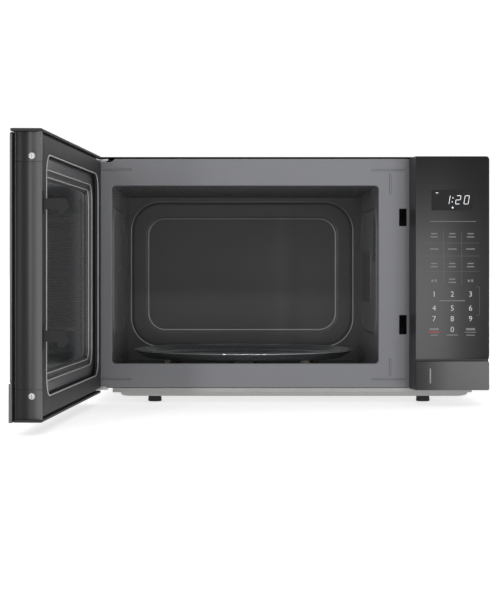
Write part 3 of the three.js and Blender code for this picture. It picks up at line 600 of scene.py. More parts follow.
# ---- Cooling fan and lamp ----
# A shaded-pole motor drives a five-blade fan in a moulded shroud at the back of the case.
# The cavity lamp sits in a heat-proof holder behind the vent in the right wall.
bulb_glass = finish("lamp glass", (0.9, 0.92, 0.9), 0.05, vary=0.02, size=80, bump=0.02,
                    Transmission_Weight=0.9, IOR=1.45)
dress("fan_shroud", switch_plastic, 0.0005)
dress("fan_motor", bright_zinc, 0.0008)
dress("fan_blade", switch_plastic, 0.0003)
dress("lamp_holder", wheel_plastic, 0.0008)
dress("lamp_bulb", bulb_glass, 0.0004)

# ---- Latch ----
# A moulded block behind the face plate holds three snap switches and the release lever. It shows
# only as darkness behind the two slots.
latch_plastic = finish("latch moulding", (0.020, 0.020, 0.020), 0.6, vary=0.1, size=700, bump=0.1,
                       Specular_IOR_Level=0.1)
for node in ("latch_body", "release_lever"):
    dress(node, latch_plastic, 0.0004)
for node in ("primary_switch", "secondary_switch", "monitor_switch"):
    dress(node, switch_plastic, 0.0003)

# ---- Hinge brackets ----
# Zinc-plated steel arms reach out through notches above and below the face plate, each with a
# riveted pin that the door turns on.
for node in ("hinge_bracket_upper", "hinge_bracket_lower"):
    dress(node, bright_zinc, 0.0004)

# ---- Control housing ----
# A tapered moulding carries the fascia and the button. Its left side slopes back to the face
# plate, and its outer corners are rounded.
fine_plastic = finish("spark-textured plastic", (0.021, 0.021, 0.022), 0.42, vary=0.1, size=2200, bump=0.25,
                      depth=0.0001)
house_low, house_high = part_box("control_housing")
fascia_low, fascia_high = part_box("control_fascia")
panel_left = fascia_low.x
button_low, button_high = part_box("open_button")
PANEL_CORNER = 0.004


def panel_outline(left, low_z, high_z, level, corner, turns=6):
    """The panel seen from the front: square on the left, rounded at the right-hand corners."""
    cx = house_high.x - 0.0001 - corner
    return [*arc(cx, high_z - corner, corner, 0, 90, turns, level),
            (left, high_z, level), (left, low_z, level),
            *arc(cx, low_z + corner, corner, 270, 90, turns, level)]


housing = bmesh.new()
HOUSE_WALL = 0.002
house_front, house_rear = fascia_high.y + 0.0003, house_high.y
lower_front = house_front + 0.006


def house_left(y):
    """The sloping left side of the housing at a depth."""
    return house_low.x + (fascia_low.x - house_low.x) * (house_rear - y) / (house_rear - house_front)


for low_z, y0, y1 in ((house_low.z, lower_front, house_rear),
                      (fascia_low.z - HOUSE_WALL, house_front, lower_front + 0.0002)):
    skin(housing, [
        panel_outline(house_left(y) + inset, low_z + inset, house_high.z - inset, y,
                      PANEL_CORNER - inset * 0.5)
        for y, inset in ((y0, HOUSE_WALL), (y0, 0), (y1, 0), (y1, HOUSE_WALL), (y0, HOUSE_WALL))
    ], last_cap=False)
make("control_housing_shell", housing, FRONT, fine_plastic, "case", "black_plastic", ["control_housing"],
     edge=0.0004, smooth=35)
dress("control_board", solder_mask, 0.0003)

# ---- Control fascia ----
# Black stainless steel, brushed across, folded over the front of the panel. The display window is
# a strip of smoked glass set into it.


def brushed(name, colour):
    """Black stainless: fine level brush lines under a dark oxide."""
    return finish(name, colour, 0.36, 0.35, vary=0.10, size=60, stretch=(0.35, 0.35, 60), bump=0.08,
                  depth=0.0001, Specular_IOR_Level=0.2)


black_stainless = brushed("black stainless", (0.10, 0.10, 0.101))
# Painted reflection and shade: the steel is painted lighter low on the panel and at its left, and darkened to
# near black across its top and towards its right.
paint_light_along(black_stainless, "Z", [(0.02, 0.80), (0.12, 0.95), (0.20, 0.85), (0.26, 0.30), (0.326, 0.04)])
paint_light_along(black_stainless, "X", [(panel_left, 1.0), (panel_left + 0.035, 0.90), (panel_left + 0.060, 0.38),
                            (panel_left + 0.096, 0.10)])
window_low, window_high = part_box("display_window")
window_hole = (window_low.x - 0.0003, window_high.x + 0.0003, window_low.z - 0.0003, window_high.z + 0.0003)
fascia = bmesh.new()
front, rear = fascia_low.y, fascia_high.y
roll = 0.0012
rolled = [panel_outline(fascia_low.x + inset, fascia_low.z + inset, fascia_high.z - inset, y, PANEL_CORNER)
          for inset, y in ((0, rear), (0, front + roll), (roll * 0.3, front + roll * 0.3), (roll, front))]
hole_rows = [ring(*window_hole, 0.0006, y, 3) for y in (rear, front)]
for loops in (rolled, hole_rows):
    skin(fascia, loops, last_cap=False)
for side in (0, -1):
    filled(fascia, [rolled[side], hole_rows[side]])
make("fascia_sheet", fascia, FRONT, black_stainless, "case", "dark_steel", ["control_fascia"], smooth=25)
smoked_glass = finish("smoked glass", (0.008, 0.008, 0.009), 0.06, vary=0.05, size=40, bump=0.01,
                      Coat_Weight=1.0, Coat_Roughness=0.02)
dress("display_window", smoked_glass, 0.0002)

# ---- Printed legends and clock ----
# The keys are a membrane under the steel, marked only by printing: numerals, plain bars where the
# functions are named, and fine frame lines. The clock behind the window shows slanted segments.
white_ink = finish("white print", (0.52, 0.52, 0.52), 0.5, vary=0.04, size=900, bump=0.02)
legend_ink = finish("fine white print", (0.16, 0.16, 0.16), 0.5, vary=0.04, size=900, bump=0.02)
grey_ink = finish("grey print", (0.10, 0.10, 0.10), 0.5, vary=0.04, size=900, bump=0.02)
red_ink = finish("red print", (0.42, 0.035, 0.035), 0.5, vary=0.04, size=900, bump=0.02)
led = finish("clock segments", (0.9, 0.92, 0.95), 0.5, vary=0.02, size=900, bump=0.0,
             Emission_Color=(0.9, 0.95, 1, 1), Emission_Strength=0.15)
INK = 0.00008
print_y = fascia_low.y - 0.0001


def flat_bar(shape, x, z, wide, tall, lean=0.0):
    """A thin printed bar centred on x, z, its top leaning to the right."""
    points = [(px + lean * (pz - z), pz, 0)
              for px, pz, _ in corners(x - wide / 2, x + wide / 2, z - tall / 2, z + tall / 2, 0)]
    drawn(shape, points, (0, -INK), first_cap=True)


def print_piece(name, shape, surface, y=print_y):
    """Lays a print on the front of the panel."""
    make(name, shape, Matrix.Translation((0, y, 0)) @ FRONT, surface, "case", "dark_steel", smooth=30)


panel_x = fascia_low.x
key_columns = [panel_x + 0.0239, panel_x + 0.0475, panel_x + 0.0713]
DIGIT_HIGH = 0.0073


def numeral(shape, text, x, z, height):
    """Adds a printed numeral, as flat as ink, centred on x, z."""
    letters = bpy.data.curves.new("numeral", "FONT")
    letters.body = text
    letters.align_x, letters.align_y = "CENTER", "CENTER"
    letters.size = height * 1.37
    letters.offset = -0.00005
    letters.extrude = INK / 2
    holder = bpy.data.objects.new("numeral", letters)
    bpy.context.collection.objects.link(holder)
    bpy.context.view_layer.update()
    mesh = bpy.data.meshes.new_from_object(holder.evaluated_get(bpy.context.evaluated_depsgraph_get()))
    mesh.transform(Matrix.Translation((x, z, 0)))
    shape.from_mesh(mesh)
    bpy.data.objects.remove(holder)
    bpy.data.meshes.remove(mesh)


digits = bmesh.new()
number_rows = (("123", 0.1458), ("456", 0.1275), ("789", 0.1136), ("0", 0.0995))
for text, z in number_rows:
    columns = key_columns if len(text) == 3 else key_columns[1:2]
    for glyph, x in zip(text, columns):
        numeral(digits, glyph, x, z, DIGIT_HIGH)
print_piece("key_numerals", digits, white_ink)

bars = bmesh.new()
legend_rows = (0.2228, 0.2049, 0.1839, 0.1635)
for row, z in enumerate(legend_rows):
    for column, x in enumerate(key_columns):
        if row == 3 and column != 1:
            flat_bar(bars, x - 0.0022, z, 0.0030, 0.0030)
            flat_bar(bars, x + 0.0022, z, 0.0024, 0.0034)
            continue
        lines = ((0.0, 0.0112),) if row == 1 else ((0.0021, 0.0080), (-0.0021, 0.0096))
        for dz, wide in lines:
            flat_bar(bars, x, z + dz, wide, 0.0015)
for column, z, wide, tall in (
    (0, 0.1003, 0.0118, 0.0028), (2, 0.1003, 0.0118, 0.0028), (0, 0.0925, 0.0092, 0.0013),
    (1, 0.0927, 0.0148, 0.0013), (2, 0.0925, 0.0112, 0.0013), (2, 0.0963, 0.0146, 0.0009),
    (1, 0.1374, 0.0330, 0.0010),
):
    flat_bar(bars, key_columns[column], z, wide, tall)
flat_bar(bars, panel_x + 0.0485, 0.2409, 0.0600, 0.0007)
print_piece("key_bars", bars, legend_ink)
stop_line = bmesh.new()
flat_bar(stop_line, key_columns[0], 0.0963, 0.0146, 0.0011)
print_piece("stop_line", stop_line, red_ink)
frames = bmesh.new()
left_edge, right_edge = panel_x + 0.0131, panel_x + 0.0829
HAIRLINE = 0.00035
for z in (0.2127, 0.1958, 0.1759):
    flat_bar(frames, (left_edge + right_edge) / 2, z, right_edge - left_edge, HAIRLINE)
for x in (panel_x + 0.0360, panel_x + 0.0598):
    flat_bar(frames, x, 0.1930, HAIRLINE, 0.0700)
for x, inward in ((left_edge, 1), (right_edge, -1)):
    flat_bar(frames, x, 0.1370, HAIRLINE, 0.0370)
    for z in (0.1555, 0.1185):
        flat_bar(frames, x + inward * 0.0022, z, 0.0045, HAIRLINE)
print_piece("key_frames", frames, grey_ink)

SEGMENTS = {"0": "abcdef", "1": "bc", "2": "abged"}
clock = bmesh.new()
digit_tall, digit_wide, lean, stroke = 0.0108, 0.0056, 0.17, 0.0007


def segment_digit(shape, glyph, x, z):
    """A slanted seven-segment digit, its middle at x, z."""
    half = digit_tall / 2
    across = digit_wide - stroke * 0.6
    places = {"a": (0, half), "g": (0, 0), "d": (0, -half), "b": (1, half / 2), "c": (1, -half / 2),
              "f": (-1, half / 2), "e": (-1, -half / 2)}
    for key in SEGMENTS[glyph]:
        side, dz = places[key]
        dx = side * digit_wide / 2 + lean * dz
        if side:
            flat_bar(shape, x + dx, z + dz, stroke, half - stroke * 0.5, lean)
        else:
            flat_bar(shape, x + dx, z + dz, across - stroke * 0.5, stroke, lean)


clock_z = (window_low.z + window_high.z) / 2 + 0.0004
for glyph, dx in (("1", 0.0205), ("2", 0.0345), ("0", 0.0455)):
    segment_digit(clock, glyph, window_low.x + dx, clock_z)
for dz in (-0.0026, 0.0026):
    flat_bar(clock, window_low.x + 0.0272 + lean * dz, clock_z + dz, 0.0012, 0.0012, lean)
flat_bar(clock, window_low.x + 0.0068, window_high.z - 0.0035, 0.0030, 0.0008)
flat_bar(clock, window_low.x + 0.0272, window_low.z + 0.0032, 0.0020, 0.0020)
print_piece("clock_digits", clock, led, window_low.y - 0.0001)

# ---- Door button ----
# The whole lower end of the panel is the button that opens the door: a brushed steel plate on a
# moulded carrier, marked by one short upright line. Its rod reaches back to the release lever.
button_top = button_high.z
plate_front, plate_rear = button_low.y, button_low.y + 0.003
button_steel = brushed("button steel", (0.115, 0.115, 0.117))
# Painted shade: the button's steel is darkened towards its left end and reaches full tone from its middle
# rightwards.
paint_light_along(button_steel, "X", [(panel_left, 0.20), (panel_left + 0.020, 0.45), (panel_left + 0.045, 0.95),
                         (panel_left + 0.096, 1.0)])
button = bmesh.new()
skin(button, [
    panel_outline(button_low.x + inset, button_low.z + inset, button_top - inset, y, 0.002)
    for y, inset in ((plate_rear, 0), (plate_front + 0.0009, 0), (plate_front + 0.0002, 0.0003),
                     (plate_front, 0.0009))
], first_cap=True)
make("button_plate", button, FRONT, button_steel, "button", "dark_steel", smooth=25)
carrier = bmesh.new()
for x0, x1, y1, z0, z1 in (
    (button_low.x + 0.0235, button_low.x + 0.0255, plate_front + 0.0205, 0.026, 0.054),
    (button_low.x + 0.0795, button_low.x + 0.0815, plate_front + 0.0205, 0.026, 0.054),
    (button_low.x + 0.00395, button_low.x + 0.00895, button_high.y, 0.047, 0.053),
):
    drawn(carrier, ring(x0, x1, z0, z1, 0.0008, 0, 3), (plate_rear - 0.0004, y1), first_cap=True)
make("button_carrier", carrier, FRONT, fine_plastic, "button", "dark_steel", ["open_button"], smooth=35)
mark = bmesh.new()
mark_x = button_low.x + 0.01895
drawn(mark, ring(mark_x - 0.0009, mark_x + 0.0009, 0.0293, 0.0491, 0.0008, 0, 5),
      (plate_front + 0.0002, plate_front - 0.00001))
pale_line = finish("pressed mark", (0.22, 0.22, 0.22), 0.35, 0.4, vary=0.05, size=500, bump=0.05)
make("button_mark", mark, FRONT, pale_line, "button", "dark_steel")
spring_low, spring_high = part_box("button_spring")
spring = bmesh.new()
wire, turns, steps = 0.0006, 5, 24
coil_radius = (spring_high.x - spring_low.x) / 2 - wire
coil_long = spring_high.y - spring_low.y - 2 * wire
loops = []
for i in range(turns * steps + 1):
    along = 2 * math.pi * i / steps
    rise = wire + coil_long * i / (turns * steps)
    loops.append([(r * math.cos(along), r * math.sin(along), rise + h)
                  for r, h, _ in arc(coil_radius, 0, wire, 0, 360, 8)])
skin(spring, loops, first_cap=True)
middle = (spring_low + spring_high) / 2
spring_place = Matrix.Translation((middle.x, spring_low.y, middle.z))
coil = make("button_coil", spring, spring_place @ FRONT, bright_zinc, "case", "zinc", ["button_spring"])
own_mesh(coil)

# ---- Door carcass ----
# The door is built up on a moulded frame. It is laid out shut, as the oven is assembled, and then
# swung open about its hinge pins. The pins turn in bores at the hinge side of the moulding.
hinge = next(j for j in frame["record"]["behaviour"]["joints"] if j["name"] == "door_hinge")
pin = Vector(hinge["pos_m"])
DOOR_OPEN = math.radians(94)
swing = Matrix.Translation(pin) @ Matrix.Rotation(-DOOR_OPEN, 4, "Z") @ Matrix.Translation(-pin)
shut = swing @ Matrix.Translation((mid_x, front_y, 0))


def door_piece(name, shape, lay, surface, slot, nodes=(), body="door", **more):
    """A piece of the door, drawn shut about the middle of the case, as it hangs when open."""
    return make(name, shape, shut @ lay, surface, body, slot, nodes, **more)


door_plastic = finish("door moulding", (0.026, 0.026, 0.027), 0.55, vary=0.08, size=1800, bump=0.12,
                      depth=0.0001, Specular_IOR_Level=0.15)
D_LEFT, D_LOW, D_HIGH = -0.2625, 0.0150, 0.3280
D_FRONT, D_REAR = -0.0334, -0.0066


def box_between(shape, x0, x1, y0, y1, z0, z1):
    """Adds a plain bar of the moulding between two values on each axis."""
    drawn(shape, ring(x0, x1, z0, z1, 0.0003, 0, 2), (y0, y1), first_cap=True)


def sheet_between(shape, outline, holes, z0, z1):
    """A flat sheet with holes through it: both of its faces and all of its edges."""
    for z in (z0, z1):
        filled(shape, [[(x, y, z) for x, y, _ in loop] for loop in [outline] + holes])
    for loop in [outline] + holes:
        drawn(shape, loop, (z0, z1), last_cap=False)


carcass = bmesh.new()
outer_edge = (-0.2484, 0.1495, D_LOW, D_HIGH - 0.0004)
inner_edge = (-0.2430, 0.1360, 0.0360, 0.3070)
skin(carcass, [
    ring(*outer_edge, 0.0004, D_FRONT, 6), ring(*outer_edge, 0.0004, D_REAR, 6),
    ring(*inner_edge, 0.005, D_REAR, 6), ring(*inner_edge, 0.005, D_FRONT, 6),
    ring(*outer_edge, 0.0004, D_FRONT, 6),
], last_cap=False)
for bar in (
    (D_LEFT, -0.2486, D_FRONT, -0.0188, D_LOW, D_HIGH - 0.0004),
    (D_LEFT, -0.2486, -0.0186, D_REAR, 0.0371, 0.3059),
    (D_LEFT, -0.2486, -0.0186, D_REAR, 0.3257, D_HIGH - 0.0004),
    (D_LEFT, -0.2486, -0.0186, D_REAR, D_LOW, 0.0173),
    (0.1497, 0.1552, D_FRONT, -0.0272, 0.0500, 0.2922), (0.1497, 0.1552, -0.0270, D_REAR, 0.0500, 0.0778),
    (0.1497, 0.1552, -0.0270, D_REAR, 0.2762, 0.2922), (0.1497, 0.1538, -0.0210, -0.0140, 0.1580, 0.1620),
):
    box_between(carcass, *bar)
PIN_BORE = 0.0034
for low_z, high_z in ((0.0213, 0.0369), (0.3061, 0.3217)):
    hinge_end = bmesh.new()
    bore = arc(pin.x - mid_x, pin.y - front_y, PIN_BORE, 0, 360, 24)
    sheet_between(hinge_end, corners(D_LEFT, -0.2486, -0.0186, D_REAR, 0), [bore], low_z, high_z)
    merge(carcass, hinge_end, FRONT.inverted())
door_piece("door_carcass", carcass, FRONT, door_plastic, "black_plastic", ["door_frame"], smooth=30)

# ---- Door end ----
# The free end is a grip strip with a hollow face, so fingers can get behind the door. The corner
# blocks above and below carry the same hollow and are held by one pan-head screw each.
GRIP_TOP, GRIP_BOTTOM = 0.2923, 0.0499
GRIP_OUT, GRIP_IN, GRIP_DEEP, GRIP_FACE = -0.0297, -0.0030, 0.0040, 0.1597


def end_profile():
    """The end of the door in plan, from its outer edge round the hollow to the inner edge."""
    middle, half_width = (GRIP_OUT + GRIP_IN) / 2, (GRIP_IN - GRIP_OUT) / 2
    radius = (half_width ** 2 + GRIP_DEEP ** 2) / (2 * GRIP_DEEP)
    opens = math.degrees(math.asin(half_width / radius))
    hollow = arc(GRIP_FACE + radius - GRIP_DEEP, middle, radius, 180 + opens, -2 * opens, 24)
    return [(0.1554, D_FRONT), (0.1566, D_FRONT), (0.1566, -0.0316), (0.1595, -0.0313), (0.1600, -0.0309),
            (0.1600, -0.0301), *(point[:2] for point in hollow), (0.1599, -0.0028), (0.1598, -0.0024),
            (0.1594, -0.0022), (0.1569, -0.0022), (0.1569, -0.0064), (0.1554, -0.0064)]


def drawn_up(shape, points, z0, z1, soft=0.0004):
    """A profile in plan drawn up between two heights, its ends slightly drawn in."""
    cx = sum(x for x, _ in points) / len(points)
    cy = sum(y for _, y in points) / len(points)
    pinch = 1 - soft / 0.013
    skin(shape, [[(cx + (x - cx) * scale, cy + (y - cy) * scale, z) for x, y in points]
                 for z, scale in ((z0, pinch), (z0 + soft, 1), (z1 - soft, 1), (z1, pinch))], first_cap=True)


end_low, end_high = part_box("door_end_cap")
grip_plastic = finish("grip moulding", (0.105, 0.105, 0.106), 0.34, vary=0.05, size=1800, bump=0.08,
                      depth=0.0001, Specular_IOR_Level=0.25)
# Painted shade and highlight: across the grip, and the corner blocks that share it, the plastic goes from
# near black at the outer edge, in the hollow, to a painted highlight lighter than its own tone at the inner
# edge.
paint_light_along(grip_plastic, "X", [(end_low.x, 0.02), (end_low.x + 0.0105, 0.05), (end_low.x + 0.0165, 0.12),
                         (end_low.x + 0.0210, 0.62), (end_high.x + 0.002, 1.15), (end_high.x + 0.008, 1.6)])
grip = bmesh.new()
drawn_up(grip, end_profile(), GRIP_BOTTOM, GRIP_TOP)
door_piece("door_grip", grip, FLOOR, grip_plastic, "black_plastic", ["door_end_cap"], smooth=25)
for name, z0, z1 in (("door_corner_upper", 0.2926, 0.3246), ("door_corner_lower", 0.0182, 0.0496)):
    corner_block = bmesh.new()
    drawn_up(corner_block, end_profile(), z0, z1)
    inner_part = [(0.1497, D_FRONT), (0.1554, D_FRONT), (0.1554, D_REAR), (0.1497, D_REAR)]
    drawn_up(corner_block, inner_part, z0, z1)
    door_piece(name, corner_block, FLOOR, grip_plastic, "black_plastic", smooth=25)

top_plate = bmesh.new()
skin(top_plate, [[(D_LEFT + 0.0002 + i, -0.0354 + i, z), (0.1634 - i, -0.0354 + i, z),
                  (0.1634 - i, -0.0290, z),
                  (0.1600 - i, -0.0024 - i, z), (D_LEFT + 0.0002 + i, -0.0024 - i, z)]
                 for z, i in ((0.3250, 0.0004), (0.3254, 0), (0.3274, 0), (0.3280, 0.0006))], first_cap=True)
door_piece("door_top_strip", top_plate, FLOOR, door_plastic, "black_plastic", smooth=30)
bottom_plate = bmesh.new()
skin(bottom_plate, [ring(D_LEFT + 0.0002 + i, 0.1600 - i, -0.0333 + i, -0.0024 - i, 0.0025, z, 4)
                    for z, i in ((0.0150, 0.0005), (0.0155, 0), (0.0175, 0), (0.0180, 0.0004))],
                    first_cap=True)
door_piece("door_bottom_strip", bottom_plate, FLOOR, door_plastic, "black_plastic", smooth=30)

# The two screws have a low domed head and a cross recess.


def screw_head(shape, radius, high, recess):
    """A pan head about the upright axis, its cross recess cut between four arms."""
    width = 0.0007
    cross = []
    for along in (Vector((1, 0)), Vector((0, 1)), Vector((-1, 0)), Vector((0, -1))):
        across = Vector((-along.y, along.x))
        cross += [along * recess - across * width, along * recess + across * width, (along + across) * width]
    laps = [arc(0, 0, radius * reach, -3.75, 360, 48, z) for reach, z in (
        (0.45, -0.003), (0.45, 0), (1, 0), (1, high * 0.35), (0.93, high * 0.7), (0.8, high * 0.93),
        (0.62, high))]
    skin(shape, laps, first_cap=True, last_cap=False)
    rows = [[(c.x * reach, c.y * reach, z) for c in cross] for reach, z in ((1, high), (0.8, high * 0.2))]
    filled(shape, [laps[-1], rows[0]])
    skin(shape, rows)


SCREW_SEAT = 0.1562
dull_zinc = finish("dull zinc", (0.42, 0.42, 0.43), 0.5, 0.8, vary=0.1, size=900, bump=0.06)
for name, z in (("door_screw_upper", 0.2989), ("door_screw_lower", 0.0429)):
    head = bmesh.new()
    screw_head(head, 0.0040, 0.0019, 0.0026)
    spot = Matrix.Translation((SCREW_SEAT, -0.0134, z)) @ Matrix.Rotation(math.pi / 2, 4, "Y")
    door_piece(name + "_head", head, spot, dull_zinc, "zinc", [name], smooth=28)

# ---- Door skin ----
# The outside of the door is black stainless sheet with rolled edges, cut out for a dark glass.
# A separate strip of the same sheet covers the bottom and stands a little proud.
door_steel = brushed("door steel", (0.085, 0.085, 0.086))
outer_skin = bmesh.new()
sheet_span = (-0.2623, 0.1643, 0.0566, 0.3240)
glass_hole = (-0.2052, 0.1072, 0.0878, 0.2622)
rolled = [inset_ring(sheet_span, inset, radius, level, 8) for inset, radius, level in (
    (0, 0.003, -0.0338), (0, 0.003, -0.0350), (0.0004, 0.0028, -0.0357), (0.0012, 0.0022, -0.0360))]
hole_rows = [ring(*glass_hole, 0.004, level, 6) for level in (-0.0338, -0.0360)]
for loops in (rolled, hole_rows):
    skin(outer_skin, loops, last_cap=False)
for side in (0, -1):
    filled(outer_skin, [rolled[side], hole_rows[side]])
door_piece("door_skin", outer_skin, FRONT, door_steel, "dark_steel", ["door_outer_panel"], smooth=25)
dark_glass = finish("dark door glass", (0.010, 0.010, 0.011), 0.04, vary=0.05, size=30, bump=0.01,
                    Transmission_Weight=0.25, IOR=1.5)
dress("door_glass", dark_glass, 0.0005)
dress("door_band", door_steel, 0.0007)

# ---- Door screen ----
# The inner steel panel is dished in steps towards a screen of small punched holes, which keeps the
# microwaves in. It is painted black and backed by a clear film on the oven side.
screen_paint = finish("screen paint", (0.045, 0.045, 0.047), 0.33, vary=0.08, size=1500, bump=0.1,
                      Coat_Weight=0.3, Coat_Roughness=0.25)
land = (-0.2426, 0.1356, 0.0364, 0.3066)
second = (-0.2205, 0.1175, 0.0555, 0.2876)
third = (-0.2120, 0.1090, 0.0625, 0.2805)
screen_hole = (-0.1905, 0.0885, 0.1010, 0.2490)
SCREEN_LEVEL, SCREEN_PITCH, SCREEN_PUNCH, SCREEN_SHEET = -0.0150, 0.0036, 0.00125, 0.0006
panel_steps = [ring(*land, 0.011, -0.0089, 10), inset_ring(land, 0.001, 0.010, -0.0082, 10)]
panel_steps += [inset_ring(second, *step, 10) for step in rounded_step(0, 0.020, -0.0082, -0.0030, 0.003)]
panel_steps += [inset_ring(third, *step, 10) for step in rounded_step(0, 0.015, -0.0112, -0.0038, 0.003)]
screen = bmesh.new()
skin(screen, panel_steps, last_cap=False)
filled(screen, [panel_steps[-1], corners(*screen_hole, SCREEN_LEVEL)])
punched(screen, *screen_hole, SCREEN_PITCH, SCREEN_PUNCH, SCREEN_LEVEL)
door_piece("door_screen", screen, FRONT, screen_paint, "galvanised", ["door_metal_panel"],
           sheet=SCREEN_SHEET, smooth=35)
film = finish("clear film", (0.7, 0.72, 0.72), 0.12, vary=0.03, size=60, bump=0.05, Transmission_Weight=1.0,
              IOR=1.4)
dress("door_inner_film", film, 0.0001)

# ---- Choke cover ----
# A moulded border hides the choke round the edge of the door and closes against the face plate.
# Two slots let the hooks through. Its opening has a soft rolled edge, and the pale bead along it is a painted
# highlight.
border_span = (-0.2600, 0.1566, 0.0214, 0.3216)
border_hole = (-0.2355, 0.1335, 0.0405, 0.3025)
cover = bmesh.new()
outer_rows = [inset_ring(border_span, inset, 0.003, level, 10)
              for inset, level in ((0.0, -0.0063), (0.0, -0.0034), (0.0004, -0.0025), (0.0014, -0.0020))]
inner_rows = [inset_ring(border_hole, -grow, 0.022 + grow, level, 10) for grow, level in (
    (0.0, -0.0063), (0.0, -0.0042), (0.0004, -0.0030), (0.0012, -0.0022), (0.0022, -0.0020))]
slot_rows = [[ring(0.1500, 0.1558, z0, z1, SLOT_CORNER, level, 3) for level in (-0.0063, -0.0020)]
             for z0, z1 in ((0.0920, 0.1200), (0.2360, 0.2620))]
for loops in (outer_rows, inner_rows, *slot_rows):
    skin(cover, loops, last_cap=False)
for side in (0, -1):
    filled(cover, [loops[side] for loops in (outer_rows, inner_rows, *slot_rows)])
door_piece("choke_border", cover, FRONT, door_plastic, "black_plastic", ["choke_cover"], smooth=35)

# Painted highlight: the bead round the opening is a pale grey, far lighter than the black moulding.
choke_rim_highlight = finish("rolled edge", (0.34, 0.34, 0.342), 0.28, vary=0.06, size=1500, bump=0.05)
rim_line = bmesh.new()
bead(rim_line, border_hole, 0.022, -0.0026, 0.0009, 0.0012)
door_piece("choke_rim", rim_line, FRONT, choke_rim_highlight, "black_plastic", smooth=60)
# Painted highlight: pale grey beads along the two folds of the dished panel, far lighter than the black
# screen paint, stand in for the light on the fold edges.
fold_lines = bmesh.new()
bead(fold_lines, second, 0.020, -0.0083, 0.0007, 0.0009)
bead(fold_lines, third, 0.015, -0.0113, 0.0007, 0.0009)
fold_highlight = finish("painted highlight on the folds", (0.42, 0.42, 0.42), 0.25, vary=0.06, size=1500, bump=0.04)
door_piece("screen_folds", fold_lines, FRONT, fold_highlight, "galvanised", smooth=60)

# ---- Door latch ----
# An upright slider in the end of the door carries two hooks with turned-down noses. A light
# spring under it holds the hooks down.
dress("latch_slider", latch_plastic, 0.0006)
dress("latch_spring", bright_zinc, 0.00003)

# ---- Outer cover ----
# One sheet is bent over the top and both sides and painted black. Each side has a row of
# louvres, and six screws hold the cover to the rear panel.
cover_paint = finish("black paint", (0.035, 0.035, 0.036), 0.36, vary=0.08, size=1400, bump=0.12,
                     depth=0.0001)
wrap_low, wrap_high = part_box("outer_cover")
wrap_foot = pan_high.z - 0.002
WRAP_BEND, WRAP_SHEET = 0.008, 0.0009
LOUVRE_LONG, LOUVRE_TALL, LOUVRE_PITCH, LOUVRE_FIRST, LOUVRES = 0.070, 0.004, 0.020, 0.090, 8
flat_top = wrap_high.z - WRAP_BEND
wrap = bmesh.new()
bends = (arc(wrap_high.x - WRAP_BEND, flat_top, WRAP_BEND, 0, 90, 8)
         + arc(wrap_low.x + WRAP_BEND, flat_top, WRAP_BEND, 90, 90, 8))
rows = [[wrap.verts.new((x, y, z)) for x, z, _ in bends] for y in (wrap_low.y, wrap_high.y)]
for i in range(len(bends) - 1):
    wrap.faces.new((rows[0][i], rows[0][i + 1], rows[1][i + 1], rows[1][i]))
for side_x, louvre_y, sign in ((wrap_high.x, wrap_high.y - 0.120, 1), (wrap_low.x, wrap_high.y - 0.100, -1)):
    side = bmesh.new()
    heights = [LOUVRE_FIRST + LOUVRE_PITCH * row for row in range(LOUVRES)]
    louvres = [(louvre_y, louvre_y + LOUVRE_LONG, z, z + LOUVRE_TALL) for z in heights]
    mouths = [ring(*louvre, 0.0019, side_x, 5) for louvre in louvres]
    filled(side, [corners(wrap_low.y, wrap_high.y, wrap_foot, flat_top, side_x)] + mouths)
    for mouth, louvre in zip(mouths, louvres):
        skin(side, [mouth, inset_ring(louvre, 0.0003, 0.0018, side_x - sign * 0.0015, 5)], last_cap=False)
    merge(wrap, side, SIDE)
make("cover_wrap", wrap, FLOOR, cover_paint, "case", "black_cover", ["outer_cover"], sheet=WRAP_SHEET,
     smooth=40)

# ---- Rear panel ----
# Plain galvanised sheet with slots for the fan and the exhaust, a hole for the cord's gland, and
# the cover's six screws near its sides.
rear_low, rear_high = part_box("rear_panel")
back = bmesh.new()
VENT_WIDE = 0.004
fan_rows, exhaust_rows = ((0.120, 0.160), (0.172, 0.212)), ((0.240, 0.290),)
columns = [(mid_x + 0.170 + 0.009 * i, fan_rows) for i in range(9)]
columns += [(mid_x - 0.200 + 0.012 * i, exhaust_rows) for i in range(6)]
holes = [ring(x, x + VENT_WIDE, *span, 0.0019, 0, 4) for x, rows in columns for span in rows]
holes.append(arc(mid_x + 0.225, 0.060, 0.0082, 0, 360, 32))
sheet_between(back, ring(rear_low.x, rear_high.x, rear_low.z, rear_high.z, 0.008, 0), holes, rear_low.y,
              rear_high.y)
make("rear_sheet", back, FRONT, galvanised, "case", "galvanised", ["rear_panel"], smooth=30)
for x in (rear_low.x + 0.018, rear_high.x - 0.018):
    for z in (0.045, 0.170, 0.300):
        head = bmesh.new()
        screw_head(head, 0.0038, 0.0017, 0.0024)
        spot = Matrix.Translation((x, rear_high.y - 0.0001, z)) @ Matrix.Rotation(-math.pi / 2, 4, "X")
        make(f"case_screw_{round(x * 1000)}_{round(z * 1000)}", head, spot, bright_zinc, "case", "zinc",
             smooth=28)
dress("cord_gland", rubber, 0.0005)

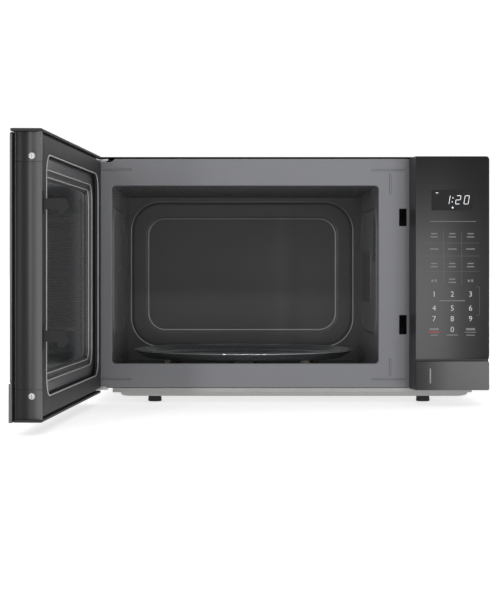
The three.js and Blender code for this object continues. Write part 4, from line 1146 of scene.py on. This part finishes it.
# ---- Floor, light and camera ----
# The oven stands on a white light table, in front of a bright white backdrop. The room behind the
# camera is dimmer, and three narrow soft lamps stand in it to draw highlights on the edges.
ground = bpy.data.meshes.new("ground")
REACH = 40
ground.from_pydata(corners(-REACH, REACH, -REACH, REACH, 0), [], [(0, 1, 2, 3)])
floor_piece = bpy.data.objects.new("ground", ground)
bpy.context.collection.objects.link(floor_piece)
ground.materials.append(finish("light table", (0.80, 0.80, 0.80), 0.9, vary=0.01, size=3, bump=0.0,
                               Emission_Color=(1, 1, 1, 1), Emission_Strength=0.62))

world = bpy.data.worlds.new("studio")
bpy.context.scene.world = world
world.use_nodes = True
sky = world.node_tree
toward = add_node(sky, "TexCoord").outputs["Generated"]
rearward = add_node(sky, "SeparateXYZ", feeds={0: toward}).outputs["Y"]
backdrop = add_node(sky, "MapRange", {"From Min": -0.35, "From Max": 0.30, "To Min": 0.28, "To Max": 1.03},
                    {"Value": rearward}, interpolation_type="SMOOTHSTEP")
sky.links.new(backdrop.outputs["Result"], sky.nodes["Background"].inputs["Color"])


def soft_lamp(name, place, aim, wide, tall, power):
    """A rectangular soft lamp at a place, turned to its aim."""
    lamp = bpy.data.lights.new(name, "AREA")
    lamp.shape = "RECTANGLE"
    lamp.size, lamp.size_y = wide, tall
    lamp.energy = power
    holder = bpy.data.objects.new(name, lamp)
    bpy.context.collection.objects.link(holder)
    holder.location = place
    holder.rotation_euler = (Vector(aim) - Vector(place)).to_track_quat("-Z", "Y").to_euler()


OVEN_MIDDLE = (0.0, 0.2, 0.16)
soft_lamp("left strip", (-0.80, -1.9, 0.35), OVEN_MIDDLE, 0.10, 0.9, 10)
soft_lamp("right strip", (0.72, -1.9, 0.35), OVEN_MIDDLE, 0.10, 0.9, 5)
soft_lamp("top strip", (0.0, -1.8, 1.05), OVEN_MIDDLE, 1.0, 0.10, 6)

camera = bpy.data.cameras.new("front")
camera.lens = 96
camera.shift_x, camera.shift_y = 0.0367, -0.0483
eye = bpy.data.objects.new("front", camera)
eye.location = (mid_x - 0.07865, front_y - 2.1245, 0.1762)
eye.rotation_euler = (math.pi / 2, 0, 0)
bpy.context.collection.objects.link(eye)
bpy.context.scene.camera = eye
bpy.context.scene.view_settings.view_transform = "Standard"
